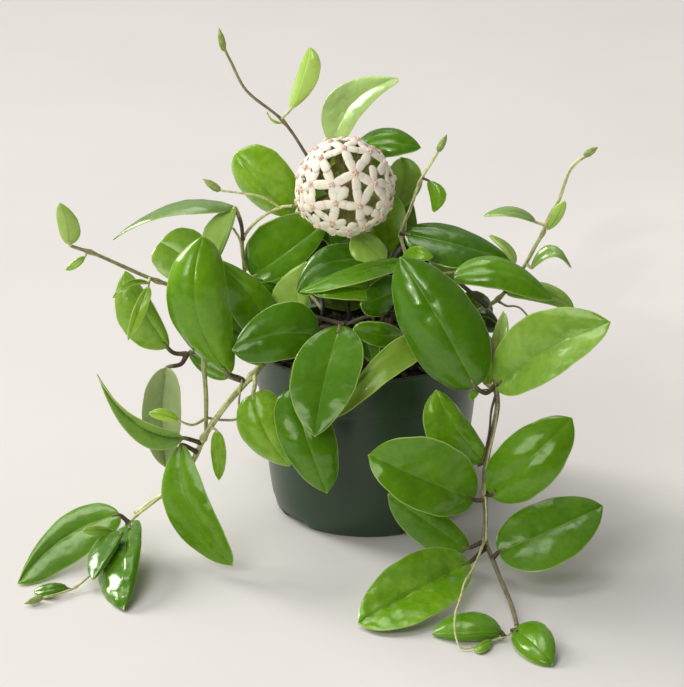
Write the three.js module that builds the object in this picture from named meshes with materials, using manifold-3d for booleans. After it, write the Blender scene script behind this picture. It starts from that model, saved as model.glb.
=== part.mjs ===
// A potted Hoya australis: a nursery pot of bark mix, with waxy leaves on
// twining stems, one hollow head of star flowers, and stems that trail to the
// ground. Millimetres, +Z up, the pot's foot centred on the origin, and the
// plant's front towards -Y.

import * as THREE from 'three';
import { mergeVertices } from 'three/addons/utils/BufferGeometryUtils.js';
import Module from 'manifold-3d';

const wasm = await Module();
wasm.setup();

// Driving dimensions

const POT = {
  rimRadius: 75,
  height: 118,
  bandHeight: 27,
  bodyRadius: 73.4,
  waistRadius: 64,
  waistHeight: 12,
  footRadius: 58.5,
  footFlare: 3.2,
  footHeight: 4,
  floor: 3,
  wall: 1.6,
  lip: 0.6,
  sides: 28,
  notches: 4,
  notchAngle: 26,
  notchHeight: 5,
  notchReach: 16,
  notchTurn: 35.5,
};

const MIX = {
  gap: 0.4,
  edgeDepth: 9,
  mound: 12,
  rings: 3,
  sides: 18,
  wave: 1.2,
  chips: 8,
  chipSize: [9, 7, 7],
  chipSpread: 60,
  holeClearance: 0.6,
  holeLength: 60,
  holeSides: 6,
};

const LEAF = {
  thickness: 0.9,
  round: 0.5,
  point: 0.6,
  rows: [0, 0.1, 0.32, 0.6, 0.86, 1],
  midRows: [0, 0.14, 0.42, 0.76, 1],
  midBelow: 62,
  smallRows: [0, 0.25, 0.65, 1],
  smallBelow: 34,
};

const STEM = {
  sides: 5,
  rootDepth: 16,
  step: 17,
  thin: 2.5,
  thinSides: 4,
  knot: 5.6,
  budSides: 6,
  petiole: 2.6,
  petioleSides: 3,
  petioleStep: 12,
  petioleSunk: 0.06,
};

const UMBEL = {
  place: { across: 345, down: 187, toward: 20 },
  ball: 33,
  hub: 6,
  apart: 12.5,
  apartBehind: 17,
  behind: 0.25,
  tries: 260,
  petals: 5,
  starRadius: 8.4,
  innerRadius: 3.6,
  cup: 1.4,
  corona: 2,
  calyx: 3,
  pedicelRadius: 0.95,
  stalk: 2.6,
};

// The plant is laid out as it is seen from in front and a little above, so a
// place is a step across and down that view, with its depth towards the
// viewer in millimetres. EYE is the viewpoint, and VIEW the frame it fills.

const VIEW = { centreAcross: 342, centreDown: 343.5, focal: 3235, tilt: 20.5 };
const EYE = new THREE.Vector3(-17, -2022.9, 871.7);
const tilt = THREE.MathUtils.degToRad(VIEW.tilt);
const sightline = new THREE.Vector3(0, Math.cos(tilt), -Math.sin(tilt));
const upward = new THREE.Vector3(0, Math.sin(tilt), Math.cos(tilt));
const rightward = new THREE.Vector3(1, 0, 0);

function ray(across, down) {
  return sightline.clone()
    .addScaledVector(rightward, (across - VIEW.centreAcross) / VIEW.focal)
    .addScaledVector(upward, (VIEW.centreDown - down) / VIEW.focal);
}

// The place seen there at a depth of so many millimetres towards the viewer.
function seen(across, down, toward) {
  const sight = ray(across, down);
  return EYE.clone().addScaledVector(sight, (-toward - EYE.y) / sight.y);
}

// The place seen there at a height above the ground, for what lies low.
function low(across, down, height) {
  const sight = ray(across, down);
  return EYE.clone().addScaledVector(sight, (height - EYE.z) / sight.z);
}

// A place given outright, for what the plant's front hides.
const at = (x, y, z) => new THREE.Vector3(x, y, z);

// The turn from one repeat to the next that spaces them evenly on a spiral
const goldenTurn = Math.PI * (3 - Math.sqrt(5));

const between = (a, b, t) => a.clone().lerp(b, t);

// Solids

function solidOf(geometry) {
  geometry.deleteAttribute('normal');
  geometry.deleteAttribute('uv');
  const merged = mergeVertices(geometry, 1e-4);
  return new wasm.Manifold(new wasm.Mesh({
    numProp: 3,
    vertProperties: new Float32Array(merged.attributes.position.array),
    triVerts: new Uint32Array(merged.index.array),
  }));
}

function geometryOf(solid) {
  const mesh = solid.getMesh();
  const geometry = new THREE.BufferGeometry();
  geometry.setAttribute('position', new THREE.BufferAttribute(mesh.vertProperties, 3));
  geometry.setIndex(new THREE.BufferAttribute(mesh.triVerts, 1));
  geometry.computeVertexNormals();
  return geometry;
}

// Joins solids that grow from one another, and drops what is left loose.
function fuse(solids) {
  const bodies = solids.reduce((whole, solid) => whole.add(solid)).decompose();
  return bodies.reduce((best, body) => (body.volume() > best.volume() ? body : best));
}

function placed(geometry, position, direction) {
  const turn = new THREE.Quaternion().setFromUnitVectors(at(0, 0, 1), direction);
  geometry.applyQuaternion(turn);
  geometry.translate(position.x, position.y, position.z);
  return solidOf(geometry);
}

// Stems, petioles and buds

function course(points, step) {
  const curve = new THREE.CatmullRomCurve3(points);
  const steps = Math.max(1, Math.round(curve.getLength() / step));
  return { curve, steps, bends: curve.getSpacedPoints(steps) };
}

function tube({ curve, steps }, thickness, sides) {
  const section = new THREE.Shape();
  for (let side = 0; side < sides; side += 1) {
    const angle = (side / sides) * 2 * Math.PI;
    const x = Math.cos(angle) * thickness / 2;
    const y = Math.sin(angle) * thickness / 2;
    if (side === 0) section.moveTo(x, y);
    else section.lineTo(x, y);
  }
  return solidOf(new THREE.ExtrudeGeometry(section, {
    steps,
    extrudePath: curve,
    bevelEnabled: false,
  }));
}

function bud(base, tip, thickness) {
  const length = base.distanceTo(tip);
  const profile = [[0, 0], [0.32, 0], [0.5, 0.3], [0.42, 0.65], [0, 1]]
    .map(([r, h]) => new THREE.Vector2(r * thickness, h * length));
  const geometry = new THREE.LatheGeometry(profile, STEM.budSides);
  geometry.rotateX(Math.PI / 2);
  const direction = tip.clone().sub(base).normalize();
  return placed(geometry, base, direction);
}

function knot(position, thickness) {
  const geometry = new THREE.IcosahedronGeometry(thickness / 2, 0);
  geometry.translate(position.x, position.y, position.z);
  return solidOf(geometry);
}

// Leaves. A blade's rib is the parabola through its base, middle and tip, and
// its two edges follow one outline. How soon that rounds out from the base and
// how slowly it comes to the point are the leaf's own, or else those of LEAF.

const widestOf = ({ round, point }) => round / (round + point);
const outline = ({ round, point }, s) => s ** round * (1 - s) ** point;
const fullness = (leaf, s) => outline(leaf, s) / outline(leaf, widestOf(leaf));

function ribAt(leaf, s) {
  return leaf.base.clone().multiplyScalar((1 - s) * (1 - 2 * s))
    .addScaledVector(leaf.middle, 4 * s * (1 - s))
    .addScaledVector(leaf.tip, s * (2 * s - 1));
}

function bladeGrid(leaf) {
  const length = leaf.base.distanceTo(leaf.middle) + leaf.middle.distanceTo(leaf.tip);
  let { rows } = LEAF;
  if (length < LEAF.midBelow) rows = LEAF.midRows;
  if (length < LEAF.smallBelow) rows = LEAF.smallRows;
  const widest = ribAt(leaf, widestOf(leaf));
  const [left, right] = leaf.edges.map((edge) => edge.clone().sub(widest));
  return rows.map((s) => {
    const rib = ribAt(leaf, s);
    const wide = fullness(leaf, s);
    return [rib.clone().addScaledVector(left, wide), rib, rib.clone().addScaledVector(right, wide)];
  });
}

function faceNormal(grid, row, column) {
  const inner = Math.min(Math.max(row, 1), grid.length - 2);
  const lastColumn = grid[0].length - 1;
  const along = grid[inner + 1][column].clone().sub(grid[inner - 1][column]);
  const across = grid[inner][Math.min(column + 1, lastColumn)].clone()
    .sub(grid[inner][Math.max(column - 1, 0)]);
  return along.cross(across).normalize();
}

function blade(leaf) {
  const grid = bladeGrid(leaf);
  const last = grid.length - 1;
  const wide = grid[0].length;
  const positions = [];
  const faces = [];
  const index = { upper: [], lower: [] };
  for (const [side, sign] of [['upper', 1], ['lower', -1]]) {
    grid.forEach((line, row) => {
      const pointed = row === 0 || row === last;
      const names = [];
      line.forEach((point, column) => {
        if (pointed && column > 0) {
          names.push(names[0]);
          return;
        }
        const normal = faceNormal(grid, row, pointed ? (wide - 1) / 2 : column);
        const spot = point.clone().addScaledVector(normal, (sign * LEAF.thickness) / 2);
        names.push(positions.length / 3);
        positions.push(spot.x, spot.y, spot.z);
      });
      index[side].push(names);
    });
  }
  const triangle = (a, b, c, flip) => {
    if (a === b || b === c || c === a) return;
    faces.push(...(flip ? [a, c, b] : [a, b, c]));
  };
  for (const side of ['upper', 'lower']) {
    const flip = side === 'lower';
    for (let row = 0; row < last; row += 1) {
      for (let column = 0; column < wide - 1; column += 1) {
        const [a, b] = index[side][row].slice(column, column + 2);
        const [d, c] = index[side][row + 1].slice(column, column + 2);
        if (column < (wide - 1) / 2) {
          triangle(a, d, c, flip);
          triangle(a, c, b, flip);
        } else {
          triangle(a, d, b, flip);
          triangle(b, d, c, flip);
        }
      }
    }
  }
  for (const [column, flip] of [[0, false], [wide - 1, true]]) {
    for (let row = 0; row < last; row += 1) {
      const [a, b] = [index.upper[row][column], index.upper[row + 1][column]];
      const [c, d] = [index.lower[row][column], index.lower[row + 1][column]];
      triangle(a, c, b, flip);
      triangle(b, c, d, flip);
    }
  }
  const geometry = new THREE.BufferGeometry();
  geometry.setAttribute('position', new THREE.Float32BufferAttribute(positions, 3));
  geometry.setIndex(faces);
  return solidOf(geometry);
}

function nearestOn(courses, place) {
  const line = new THREE.Line3();
  let best = null;
  for (const { bends } of courses) {
    for (let order = 1; order < bends.length; order += 1) {
      const point = line.set(bends[order - 1], bends[order])
        .closestPointToPoint(place, true, new THREE.Vector3());
      const distance = point.distanceTo(place);
      if (!best || distance < best.distance) best = { point, distance };
    }
  }
  return best.point;
}

// A leafy stem: vines, knots where leaves part from them, blades on their
// petioles, and buds, fused in one body.
function leafyStem(plan) {
  const courses = plan.vines.map((vine) => {
    if (!vine.root) return course(vine.path, STEM.step);
    const [x, y] = vine.root;
    const foot = at(x, y, POT.height - STEM.rootDepth);
    const upright = [foot, at(x, y, POT.height - 4), at(x, y, POT.height + 7)];
    return course([...upright, ...vine.path], STEM.step);
  });
  const solids = courses.map((route, order) => {
    const { thickness } = plan.vines[order];
    return tube(route, thickness, thickness < STEM.thin ? STEM.thinSides : STEM.sides);
  });
  for (const place of plan.knots ?? []) solids.push(knot(place, STEM.knot));
  for (const leaf of plan.leaves) {
    solids.push(blade(leaf));
    const start = nearestOn(courses, leaf.from ?? leaf.base);
    const bends = [start, ...(leaf.by ?? []), leaf.base, ribAt(leaf, STEM.petioleSunk)];
    const route = course(bends, STEM.petioleStep);
    solids.push(tube(route, leaf.petiole ?? STEM.petiole, STEM.petioleSides));
  }
  for (const one of plan.buds ?? []) solids.push(bud(one.base, one.tip, one.thickness));
  return fuse(solids);
}

const leaf = (base, middle, tip, left, right, more = {}) => (
  { base, middle, tip, edges: [left, right], round: LEAF.round, point: LEAF.point, ...more }
);

// A leaf given by its base, tip, half width and the height of its arch, for
// the plant's far side. A tilt lifts one edge over the other.
function arched(base, tip, half, arch, tilt = 0) {
  const out = tip.clone().sub(base).normalize();
  const across = at(0, 0, 0).crossVectors(out, at(0, 0, 1)).normalize()
    .applyAxisAngle(out, tilt);
  const above = at(0, 0, 0).crossVectors(across, out);
  const middle = between(base, tip, 0.5).addScaledVector(above, arch);
  const widestAt = between(base, tip, widestOf(LEAF)).addScaledVector(above, arch * 0.7);
  return leaf(base, middle, tip,
    widestAt.clone().addScaledVector(across, -half),
    widestAt.clone().addScaledVector(across, half));
}

// The trailing stem over the left of the rim, and the big leaf above it

const trailingLeft = {
  vines: [
    {
      thickness: 4.6,
      root: [-40, -22],
      path: [
        at(-49, -33, 125), seen(265, 362, 47), seen(252, 376, 60), seen(230, 400, 72),
        seen(215, 420, 78), seen(204, 437, 80), seen(195, 457, 80), seen(173, 488, 76),
        seen(153, 501, 74), seen(136, 514, 72),
      ],
    },
    {
      thickness: 2.2,
      path: [
        seen(204, 437, 80), seen(190, 463, 82), seen(160, 497, 79), seen(134, 518, 76),
        seen(121, 534, 86), low(100, 563, 12), low(88, 577, 6), low(76, 587, 3),
        low(61, 593, 3), low(42, 598, 3.2),
      ],
    },
    {
      thickness: 3,
      path: [seen(203, 344, 58), seen(204, 368, 65), seen(206, 396, 72), seen(206, 432, 80)],
    },
    {
      thickness: 2,
      path: [
        seen(208, 418, 77), seen(222, 420, 78), seen(238, 418, 77),
        seen(239, 400, 74), seen(242, 380, 66),
      ],
    },
  ],
  knots: [seen(204, 438, 80), seen(135, 515, 73), seen(252, 376, 60), low(76, 587, 3.2)],
  leaves: [
    // big leaf at the front left
    leaf(seen(229, 374, 62), seen(196, 308, 76), seen(203, 236, 60), seen(167, 303, 66),
      seen(229, 300, 62), { by: [seen(240, 378, 60)], round: 0.7 }),
    // bright leaf at the left of the rim
    leaf(seen(253, 395, 78), seen(266, 434, 90), seen(290, 466, 84), seen(240, 434, 82),
      seen(287, 411, 78), { from: seen(254, 374, 58), by: [seen(255, 384, 70)] }),
    // drooping leaf
    leaf(seen(181, 445, 86), seen(190, 506, 104), seen(232.5, 566, 120), seen(167, 515, 98),
      seen(209, 500, 108), { round: 0.6 }),
    // horn leaf, folded along its rib
    leaf(seen(184, 438, 84), seen(137, 424, 84), seen(97, 374, 74), seen(146, 422, 96),
      seen(146, 447, 96), { point: 1 }),
    // small leaf over the horn leaf
    leaf(seen(178, 420, 102), seen(164, 414.5, 105), seen(149, 413.5, 104),
      seen(166, 409, 103), seen(164, 421, 105), { by: [seen(192, 425, 92)], petiole: 1.8 }),
    // small hanging leaf
    leaf(seen(217, 431, 84), seen(219, 455, 88), seen(219, 480, 88),
      seen(211, 452, 86), seen(226, 452, 88), { petiole: 1.8 }),
    // the first leaf that reaches the ground
    leaf(seen(119, 515, 76), low(64, 538, 15), low(17.5, 584, 1.6), low(66, 514, 24),
      low(84, 556, 8), { round: 0.6 }),
    // the second
    leaf(low(131, 524, 20), low(123, 568, 15), low(124, 610, 2), low(98, 566, 6), low(141, 546, 21)),
    // small light leaf in front of them
    leaf(low(122, 533, 25), low(107, 555, 19), low(93, 580, 9), low(93, 546, 17), low(112, 556, 19)),
    // small leaf on the ground
    leaf(low(67, 588, 3), low(50, 590, 5), low(34, 592, 1.4), low(51, 583, 7), low(50, 597, 2),
      { petiole: 1.6 }),
  ],
  buds: [{ base: low(43, 597, 3.2), tip: low(24, 604, 2.4), thickness: 4.6 }],
};

// The trailing stem over the right of the rim

const trailingRight = {
  vines: [
    {
      thickness: 4.4,
      root: [44, -18],
      path: [
        at(52, -28, 128), seen(470, 331, 45), seen(488, 338, 60), seen(494, 360, 72),
        seen(496, 388, 80), seen(497.5, 404, 84), seen(493, 431, 90), seen(488, 453, 95),
        seen(484.5, 475, 98), seen(484.5, 494, 103), seen(485.6, 518, 109),
        low(484.5, 541, 22), low(489, 551, 18), low(500, 578, 10), low(511, 604, 5),
        low(517, 626, 3.4),
      ],
    },
    {
      thickness: 1.9,
      path: [
        low(484.5, 541, 22), low(474, 567, 22), low(465, 582, 21), low(460, 600, 20),
        low(455, 617, 17), low(456, 637, 7), low(461.5, 648, 2), low(474, 647, 1.8),
        low(491, 641, 2.4), low(508, 635, 3.2), low(516, 627, 3.6),
      ],
    },
  ],
  knots: [
    seen(484.5, 494, 103), low(484.5, 542, 22), low(516, 627, 3.6), seen(495, 388, 80),
    low(460, 600, 20),
  ],
  leaves: [
    // big leaf that faces the viewer
    leaf(seen(475, 386, 92), seen(440, 322, 92), seen(400, 257, 66),
      seen(411, 350, 84), seen(479, 313, 80), { by: [seen(486, 393, 86)] }),
    // bright leaf out to the right
    leaf(seen(496, 387, 80), seen(550, 347, 96), seen(611, 322, 102), seen(523, 319, 84),
      seen(552, 379, 116), { point: 0.68 }),
    // pale leaf behind them
    leaf(seen(488, 386, 76), seen(487, 362, 66), seen(489, 337, 60),
      seen(479, 366, 70), seen(495, 364, 64)),
    leaf(seen(496, 382, 70), seen(498, 344, 58), seen(503.5, 311, 52),
      seen(489, 354, 60), seen(508, 350, 62)),
    leaf(seen(485, 462, 96), seen(455, 427, 102), seen(436, 390, 94),
      seen(431, 444, 104), seen(471, 425, 94), { from: seen(486, 458, 96), by: [seen(479, 465, 97)] }),
    leaf(seen(473.6, 500, 104), seen(421, 478, 122), seen(368, 455, 118), seen(446, 443, 124),
      seen(417, 510, 132)),
    leaf(seen(491, 495, 106), seen(532, 457, 112), seen(572, 418, 100),
      seen(505, 441, 100), seen(548, 486, 118)),
    leaf(low(499, 552, 20), low(551, 530, 33), low(603, 506, 42), low(530, 505, 44),
      low(557, 566, 19)),
    leaf(seen(467, 548, 112), seen(427, 521, 106), seen(388, 494, 98), seen(421, 545, 104),
      seen(441, 513, 104)),
    leaf(low(469, 563, 14), low(413, 592, 12), low(358, 624, 3), low(404, 557, 26),
      low(435, 615, 8), { from: low(487, 548, 19) }),
    leaf(low(501, 632, 5), low(470, 632, 8), low(432, 634, 1.8),
      low(471, 612, 12), low(474, 640.5, 2.2)),
    leaf(low(515, 630, 5), low(535, 645, 8), low(552.5, 665, 1.6), low(546, 626, 12),
      low(521, 654, 1.8)),
    // young leaf on the thin shoot
    leaf(low(491, 642, 3), low(482, 644, 4), low(474, 650, 1.2), low(486, 640, 4),
      low(484, 652, 1.6), { petiole: 1.4 }),
  ],
};

// Leaves over the front of the rim

const front = {
  vines: [
    {
      thickness: 4,
      root: [-14, -30],
      path: [at(-19, -40, 126), seen(334, 336, 50), seen(314, 352, 62)],
    },
  ],
  leaves: [
    // leaf in front of the pot
    leaf(seen(292, 390, 80), seen(308, 442, 104), seen(327, 493, 106), seen(278, 437, 98),
      seen(333, 428, 96), { by: [seen(294, 366, 73)] }),
    // leaf that hangs over the rim
    leaf(seen(340, 326, 64), seen(324, 384, 93), seen(315, 437, 115), seen(292, 369, 84),
      seen(361, 371, 94), { from: seen(334, 336, 50), point: 0.8 }),
    // low dark leaf to the left
    leaf(seen(318, 336, 52), seen(278, 334, 62), seen(232, 350, 66),
      seen(284, 302, 52), seen(284, 360, 66), { from: seen(325, 343, 56) }),
  ],
};

// The middle of the plant, under the umbel

const middle = {
  vines: [
    {
      thickness: 4,
      root: [12, -12],
      path: [at(13, -15, 129), seen(396, 310, 30), seen(404, 290, 30), seen(402, 268, 22)],
    },
    {
      thickness: 3,
      path: [seen(394, 312, 30), seen(362, 318, 36), seen(345, 325, 40)],
    },
    {
      thickness: 3,
      path: [seen(397, 306, 30), seen(424, 330, 50), seen(428, 342, 62)],
    },
  ],
  leaves: [
    // long pale leaf, seen from below
    leaf(seen(428, 345, 62), seen(382, 362, 80), seen(333, 418, 86), seen(392, 342, 76),
      seen(398, 374, 84)),
    leaf(seen(403, 336, 52), seen(378, 335, 66), seen(353, 329, 70),
      seen(379, 322, 64), seen(380, 347, 68), { from: seen(397, 308, 31), petiole: 2 }),
    // dark leaf over the soil
    leaf(seen(398, 290, 30), seen(384, 296, 40), seen(360, 304, 46),
      seen(384, 276, 36), seen(382, 316, 42)),
    // leaves seen nearly edge on
    leaf(seen(402, 262, 26), seen(352, 272, 46), seen(300, 292, 52),
      seen(365, 263, 32), seen(366, 281, 60)),
    leaf(seen(380, 294, 36), seen(350, 287, 46), seen(311, 292, 48), seen(348, 277, 42),
      seen(350, 300, 50), { from: seen(398, 304, 30) }),
    // pale curled end
    leaf(seen(402, 260, 30), seen(418, 253, 36), seen(433, 257, 38),
      seen(415, 246, 32), seen(414, 262, 38), { petiole: 2 }),
    // dark leaf
    leaf(seen(392, 266, 20), seen(332, 262, 26), seen(297, 292, 32), seen(331, 245, 16),
      seen(344, 282, 36), { point: 0.5 }),
    // leaf just below the umbel
    leaf(seen(384, 262, 20), seen(370, 248, 18), seen(355, 233, 12), seen(355, 259, 24),
      seen(381, 241, 8)),
    // light leaf at the left
    leaf(seen(301, 311, 22), seen(297, 287, 20), seen(306, 262, 18), seen(272, 296, 20),
      seen(312, 280, 20), { from: seen(345, 325, 40) }),
    leaf(seen(362, 322, 36), seen(368, 345, 60), seen(372, 362, 76),
      seen(359, 345, 60), seen(379, 345, 60), { petiole: 2 }),
  ],
};

// The climbing stem that carries the umbel, and the young bud

const flowerStem = {
  vines: [
    {
      thickness: 3,
      root: [-26, 0],
      path: [
        at(-36, -4, 128), seen(262, 308, 10), seen(246, 278, 12), seen(243, 255, 12),
        seen(243, 240, 12), seen(250, 228, 12), seen(262, 217, 12), seen(282, 207, 12),
        seen(292, 206, 13),
      ],
    },
    {
      thickness: 2,
      path: [
        seen(280, 208, 12), seen(262, 197, 14), seen(240, 193, 14), seen(219, 190, 14),
        seen(217, 189, 14),
      ],
    },
    {
      thickness: 2.4,
      path: [seen(247, 270, 12), seen(243, 258, 14), seen(240, 240, 16), seen(233, 228, 16)],
    },
  ],
  leaves: [
    // leaf under the umbel
    leaf(seen(253, 277, 12), seen(290, 250, 2), seen(326, 222, -18),
      seen(261, 226, -2), seen(296, 269, 10)),
    // long blade seen edge on
    leaf(seen(233, 207, 12), seen(176, 206, 8), seen(113, 240, 14),
      seen(191, 203.5, -8), seen(191, 214, 26),
      { from: seen(243, 240, 12), by: [seen(240, 222, 13)], petiole: 2, point: 0.95 }),
    // twisted leaf
    leaf(seen(235, 207, 14), seen(227, 232, 24), seen(217, 260, 24),
      seen(203, 233, 12), seen(231, 230, 20),
      { from: seen(244, 240, 13), by: [seen(241, 222, 13)], petiole: 2.4 }),
  ],
  buds: [{ base: seen(220, 190.5, 14), tip: seen(203, 179, 16), thickness: 5.4 }],
};

// The shoot out to the left

const left = {
  vines: [
    {
      thickness: 3.6,
      root: [-48, 4],
      path: [
        at(-62, 0, 130), seen(232, 322, 22), seen(205, 298, 34), seen(180, 288, 40),
        seen(157, 281, 42), seen(140, 274, 42), seen(120, 265, 42), seen(100, 256, 42),
        seen(90, 252, 42), seen(80, 249, 42), seen(71, 246, 42),
      ],
    },
    {
      thickness: 3.4,
      path: [
        seen(225, 314, 26), seen(213, 335, 38), seen(200, 350, 48), seen(187, 354, 54),
      ],
    },
  ],
  knots: [seen(157, 281, 42), seen(90, 252, 42), seen(186, 354, 54)],
  leaves: [
    // leaf in the middle of the left side
    leaf(seen(167, 347, 58), seen(142, 307, 64), seen(125, 271, 54), seen(121, 327, 66),
      seen(156, 309, 54), { by: [seen(174, 353, 55)], round: 0.6 }),
    // folded leaf that hangs
    leaf(seen(166, 368, 62), seen(162, 418, 64), seen(166, 468, 68),
      seen(142, 412, 76), seen(181, 412, 72), { from: seen(187, 354, 54), by: [seen(181, 364, 58)] }),
    // thin curved leaf
    leaf(seen(148, 283, 58), seen(127, 283, 70), seen(113, 298, 74), seen(131, 280, 68),
      seen(132, 286, 71), { petiole: 1.8 }),
    // slender leaf
    leaf(seen(148, 287, 52), seen(138, 312, 78), seen(128, 340, 82),
      seen(134, 308, 78), seen(147, 310, 76), { petiole: 1.8 }),
    // young leaves at the end
    leaf(seen(69, 244, 42), seen(67, 224, 46), seen(60, 203, 44),
      seen(58, 226, 44), seen(80, 227, 42), { petiole: 1.8 }),
    leaf(seen(85, 257, 44), seen(76, 264, 46), seen(66, 270, 46),
      seen(75, 260, 44), seen(78, 267, 47), { petiole: 1.6 }),
    // leaf behind the big one, to the right
    leaf(seen(268, 334, 24), seen(250, 296, 36), seen(212, 258, 36), seen(234, 318, 40),
      seen(273, 297, 26), { from: at(-61, 0, 129) }),
    // leaf behind the big one, to the left
    leaf(seen(214, 282, 24), seen(186, 258, 17), seen(160, 243, 9),
      seen(199, 233, 3), seen(163, 275, 26), { from: seen(205, 298, 34) }),
  ],
};

// The tall shoot at the top left

const topLeft = {
  vines: [
    {
      thickness: 2.8,
      root: [-12, 16],
      path: [
        at(-14, 20, 150), seen(338, 240, -30), seen(326, 190, -32), seen(307, 156, -26),
        seen(283, 121, -22), seen(246, 90, -18), seen(231, 62, -16), seen(224, 48, -16),
      ],
    },
  ],
  knots: [seen(283, 121, -22)],
  leaves: [
    leaf(seen(291, 109, -22), seen(303, 78, -16), seen(310, 47, -18), seen(296, 80, -34),
      seen(318.5, 78, -14), { petiole: 2, round: 0.6, point: 0.8 }),
    leaf(seen(281, 123, -22), seen(273, 121, -20), seen(267, 112, -18), seen(272, 119, -18),
      seen(273, 122, -21), { petiole: 1.6 }),
    // round leaf behind the umbel
    leaf(seen(292, 214, -24), seen(262, 186, -16), seen(236, 153, -24), seen(246, 196, -24),
      seen(284, 160, -26), { from: seen(331, 206, -32), point: 0.45 }),
    // dark leaf behind the umbel's foot
    leaf(seen(340, 262, -25), seen(331, 242, -17), seen(326, 216, -27), seen(313, 243, -24),
      seen(350, 236, -22)),
  ],
  buds: [{ base: seen(224, 51, -16), tip: seen(219, 28, -15), thickness: 4.8 }],
};

// Leaves behind the top of the umbel

const top = {
  vines: [
    {
      thickness: 3.4,
      root: [10, 12],
      path: [at(13, 18, 150), seen(386, 250, -34), seen(372, 196, -42), seen(350, 152, -40)],
    },
  ],
  leaves: [
    leaf(seen(336, 150, -40), seen(350, 106, -50), seen(397, 78, -44), seen(331, 93, -62),
      seen(371, 104, -38), { round: 0.6, point: 0.5 }),
    leaf(seen(352, 150, -36), seen(386, 142, -26), seen(421, 148, -26), seen(383, 128, -38),
      seen(382, 158, -22), { point: 0.8 }),
    leaf(seen(376, 222, -42), seen(400, 196, -26), seen(401, 157, -32),
      seen(378, 196, -38), seen(420, 190, -28)),
    leaf(seen(388, 254, -36), seen(386, 222, -18), seen(376, 186, -22),
      seen(368, 226, -26), seen(406, 216, -24)),
  ],
};

// The shoot right of the umbel, and the long leaf out to the right

const centreRight = {
  vines: [
    {
      thickness: 3.2,
      root: [30, 6],
      path: [
        at(32, 6, 132), seen(414, 282, -4), seen(405, 252, -6), seen(401, 234, -6),
        seen(410, 210, -8), seen(420, 182, -10), seen(433, 160, -10), seen(439, 150, -10),
      ],
    },
  ],
  knots: [seen(401, 235, -6), seen(420, 182, -10)],
  leaves: [
    leaf(seen(405, 234, -4), seen(457, 245, 12), seen(512, 261, 14), seen(450, 225, -6),
      seen(443, 266, 26), { round: 0.6, point: 0.8 }),
    leaf(seen(515, 263, 16), seen(506, 247, 18), seen(489, 235, 12),
      seen(512, 247, 14), seen(503, 251, 19), { from: seen(508, 260, 14), petiole: 1.6 }),
    leaf(seen(429, 181, -8), seen(437, 196, -4), seen(434, 212, -2),
      seen(430, 196, -8), seen(446, 193, -4), { petiole: 1.8 }),
  ],
  buds: [{ base: seen(438, 151.5, -10), tip: seen(447, 134, -10), thickness: 5 }],
};

// The shoot at the top right

const rightTop = {
  vines: [
    {
      thickness: 3.4,
      root: [52, 2],
      path: [
        at(62, 0, 134), seen(476, 312, 14), seen(498, 299, 20), seen(516, 278, 20),
        seen(525, 265, 16), seen(537, 243, 10), seen(543, 233, 8), seen(547, 222, 8),
        seen(553, 210, 8), seen(559, 200, 8), seen(564, 185, 8), seen(570, 170, 8),
        seen(578, 161, 8), seen(586, 156, 8),
      ],
    },
    {
      thickness: 1.8,
      path: [
        seen(498, 301, 20), seen(507, 306, 30), seen(514, 306, 36), seen(520, 308, 40),
        seen(526, 314, 44), seen(530, 319, 46),
      ],
    },
  ],
  knots: [seen(499, 299, 20), seen(543, 233, 8)],
  leaves: [
    leaf(seen(535, 222, 8), seen(510, 212, 12), seen(484, 216, 12),
      seen(515, 207, 0), seen(514, 217, 20), { petiole: 2 }),
    leaf(seen(549, 229, 8), seen(558, 216, 12), seen(565, 201, 12),
      seen(550, 214, 8), seen(562, 218, 12), { petiole: 1.8 }),
    leaf(seen(532, 268, 18), seen(555, 250, 24), seen(571, 268, 26), seen(548, 245, 16),
      seen(552, 257, 30), { petiole: 2 }),
    leaf(seen(455, 276, 34), seen(505, 272, 40), seen(553, 300, 42),
      seen(497, 257, 26), seen(492, 288, 46), { from: seen(488, 305, 18) }),
    leaf(seen(474, 322, 10), seen(487, 317, 12), seen(500, 328, 8),
      seen(485, 307, 2), seen(487, 332, 16), { petiole: 2 }),
    leaf(seen(506, 292, 22), seen(543, 293, 24), seen(574, 309, 24),
      seen(545, 283, 14), seen(538, 302, 32)),
  ],
  buds: [{ base: seen(584, 156, 8), tip: seen(598, 147, 8), thickness: 5 }],
};

// Behind the plant, out of the viewer's sight

const back = {
  vines: [
    {
      thickness: 3.8,
      root: [4, 44],
      path: [
        at(6, 56, 126), at(8, 74, 127), at(8, 90, 112), at(6, 96, 84), at(4, 98, 54),
      ],
    },
  ],
  leaves: [
    leaf(at(2, 64, 128), seen(343, 298, -62), seen(300, 290, -66),
      seen(340, 277, -62), seen(346, 311, -60)),
    leaf(at(12, 64, 128), seen(390, 296, -54), seen(412, 276, -52), seen(376, 286, -58),
      seen(406, 306, -48)),
    leaf(at(0, 92, 110), at(-30, 108, 108), at(-60, 112, 88), at(-22, 98, 124), at(-30, 122, 86)),
    leaf(at(14, 92, 108), at(40, 108, 106), at(66, 110, 84), at(32, 98, 122), at(40, 120, 84)),
    leaf(at(0, 99, 82), at(-26, 112, 70), at(-50, 110, 44), at(-30, 104, 90), at(-8, 114, 58)),
    leaf(at(12, 99, 80), at(34, 112, 66), at(54, 108, 40), at(38, 104, 86), at(16, 114, 54)),
    leaf(at(0, 101, 50), at(-12, 112, 34), at(-22, 110, 12), at(-24, 106, 40), at(2, 114, 30)),
    leaf(at(8, 101, 50), at(18, 112, 34), at(30, 108, 12), at(28, 104, 42), at(6, 114, 30)),
  ],
};

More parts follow.
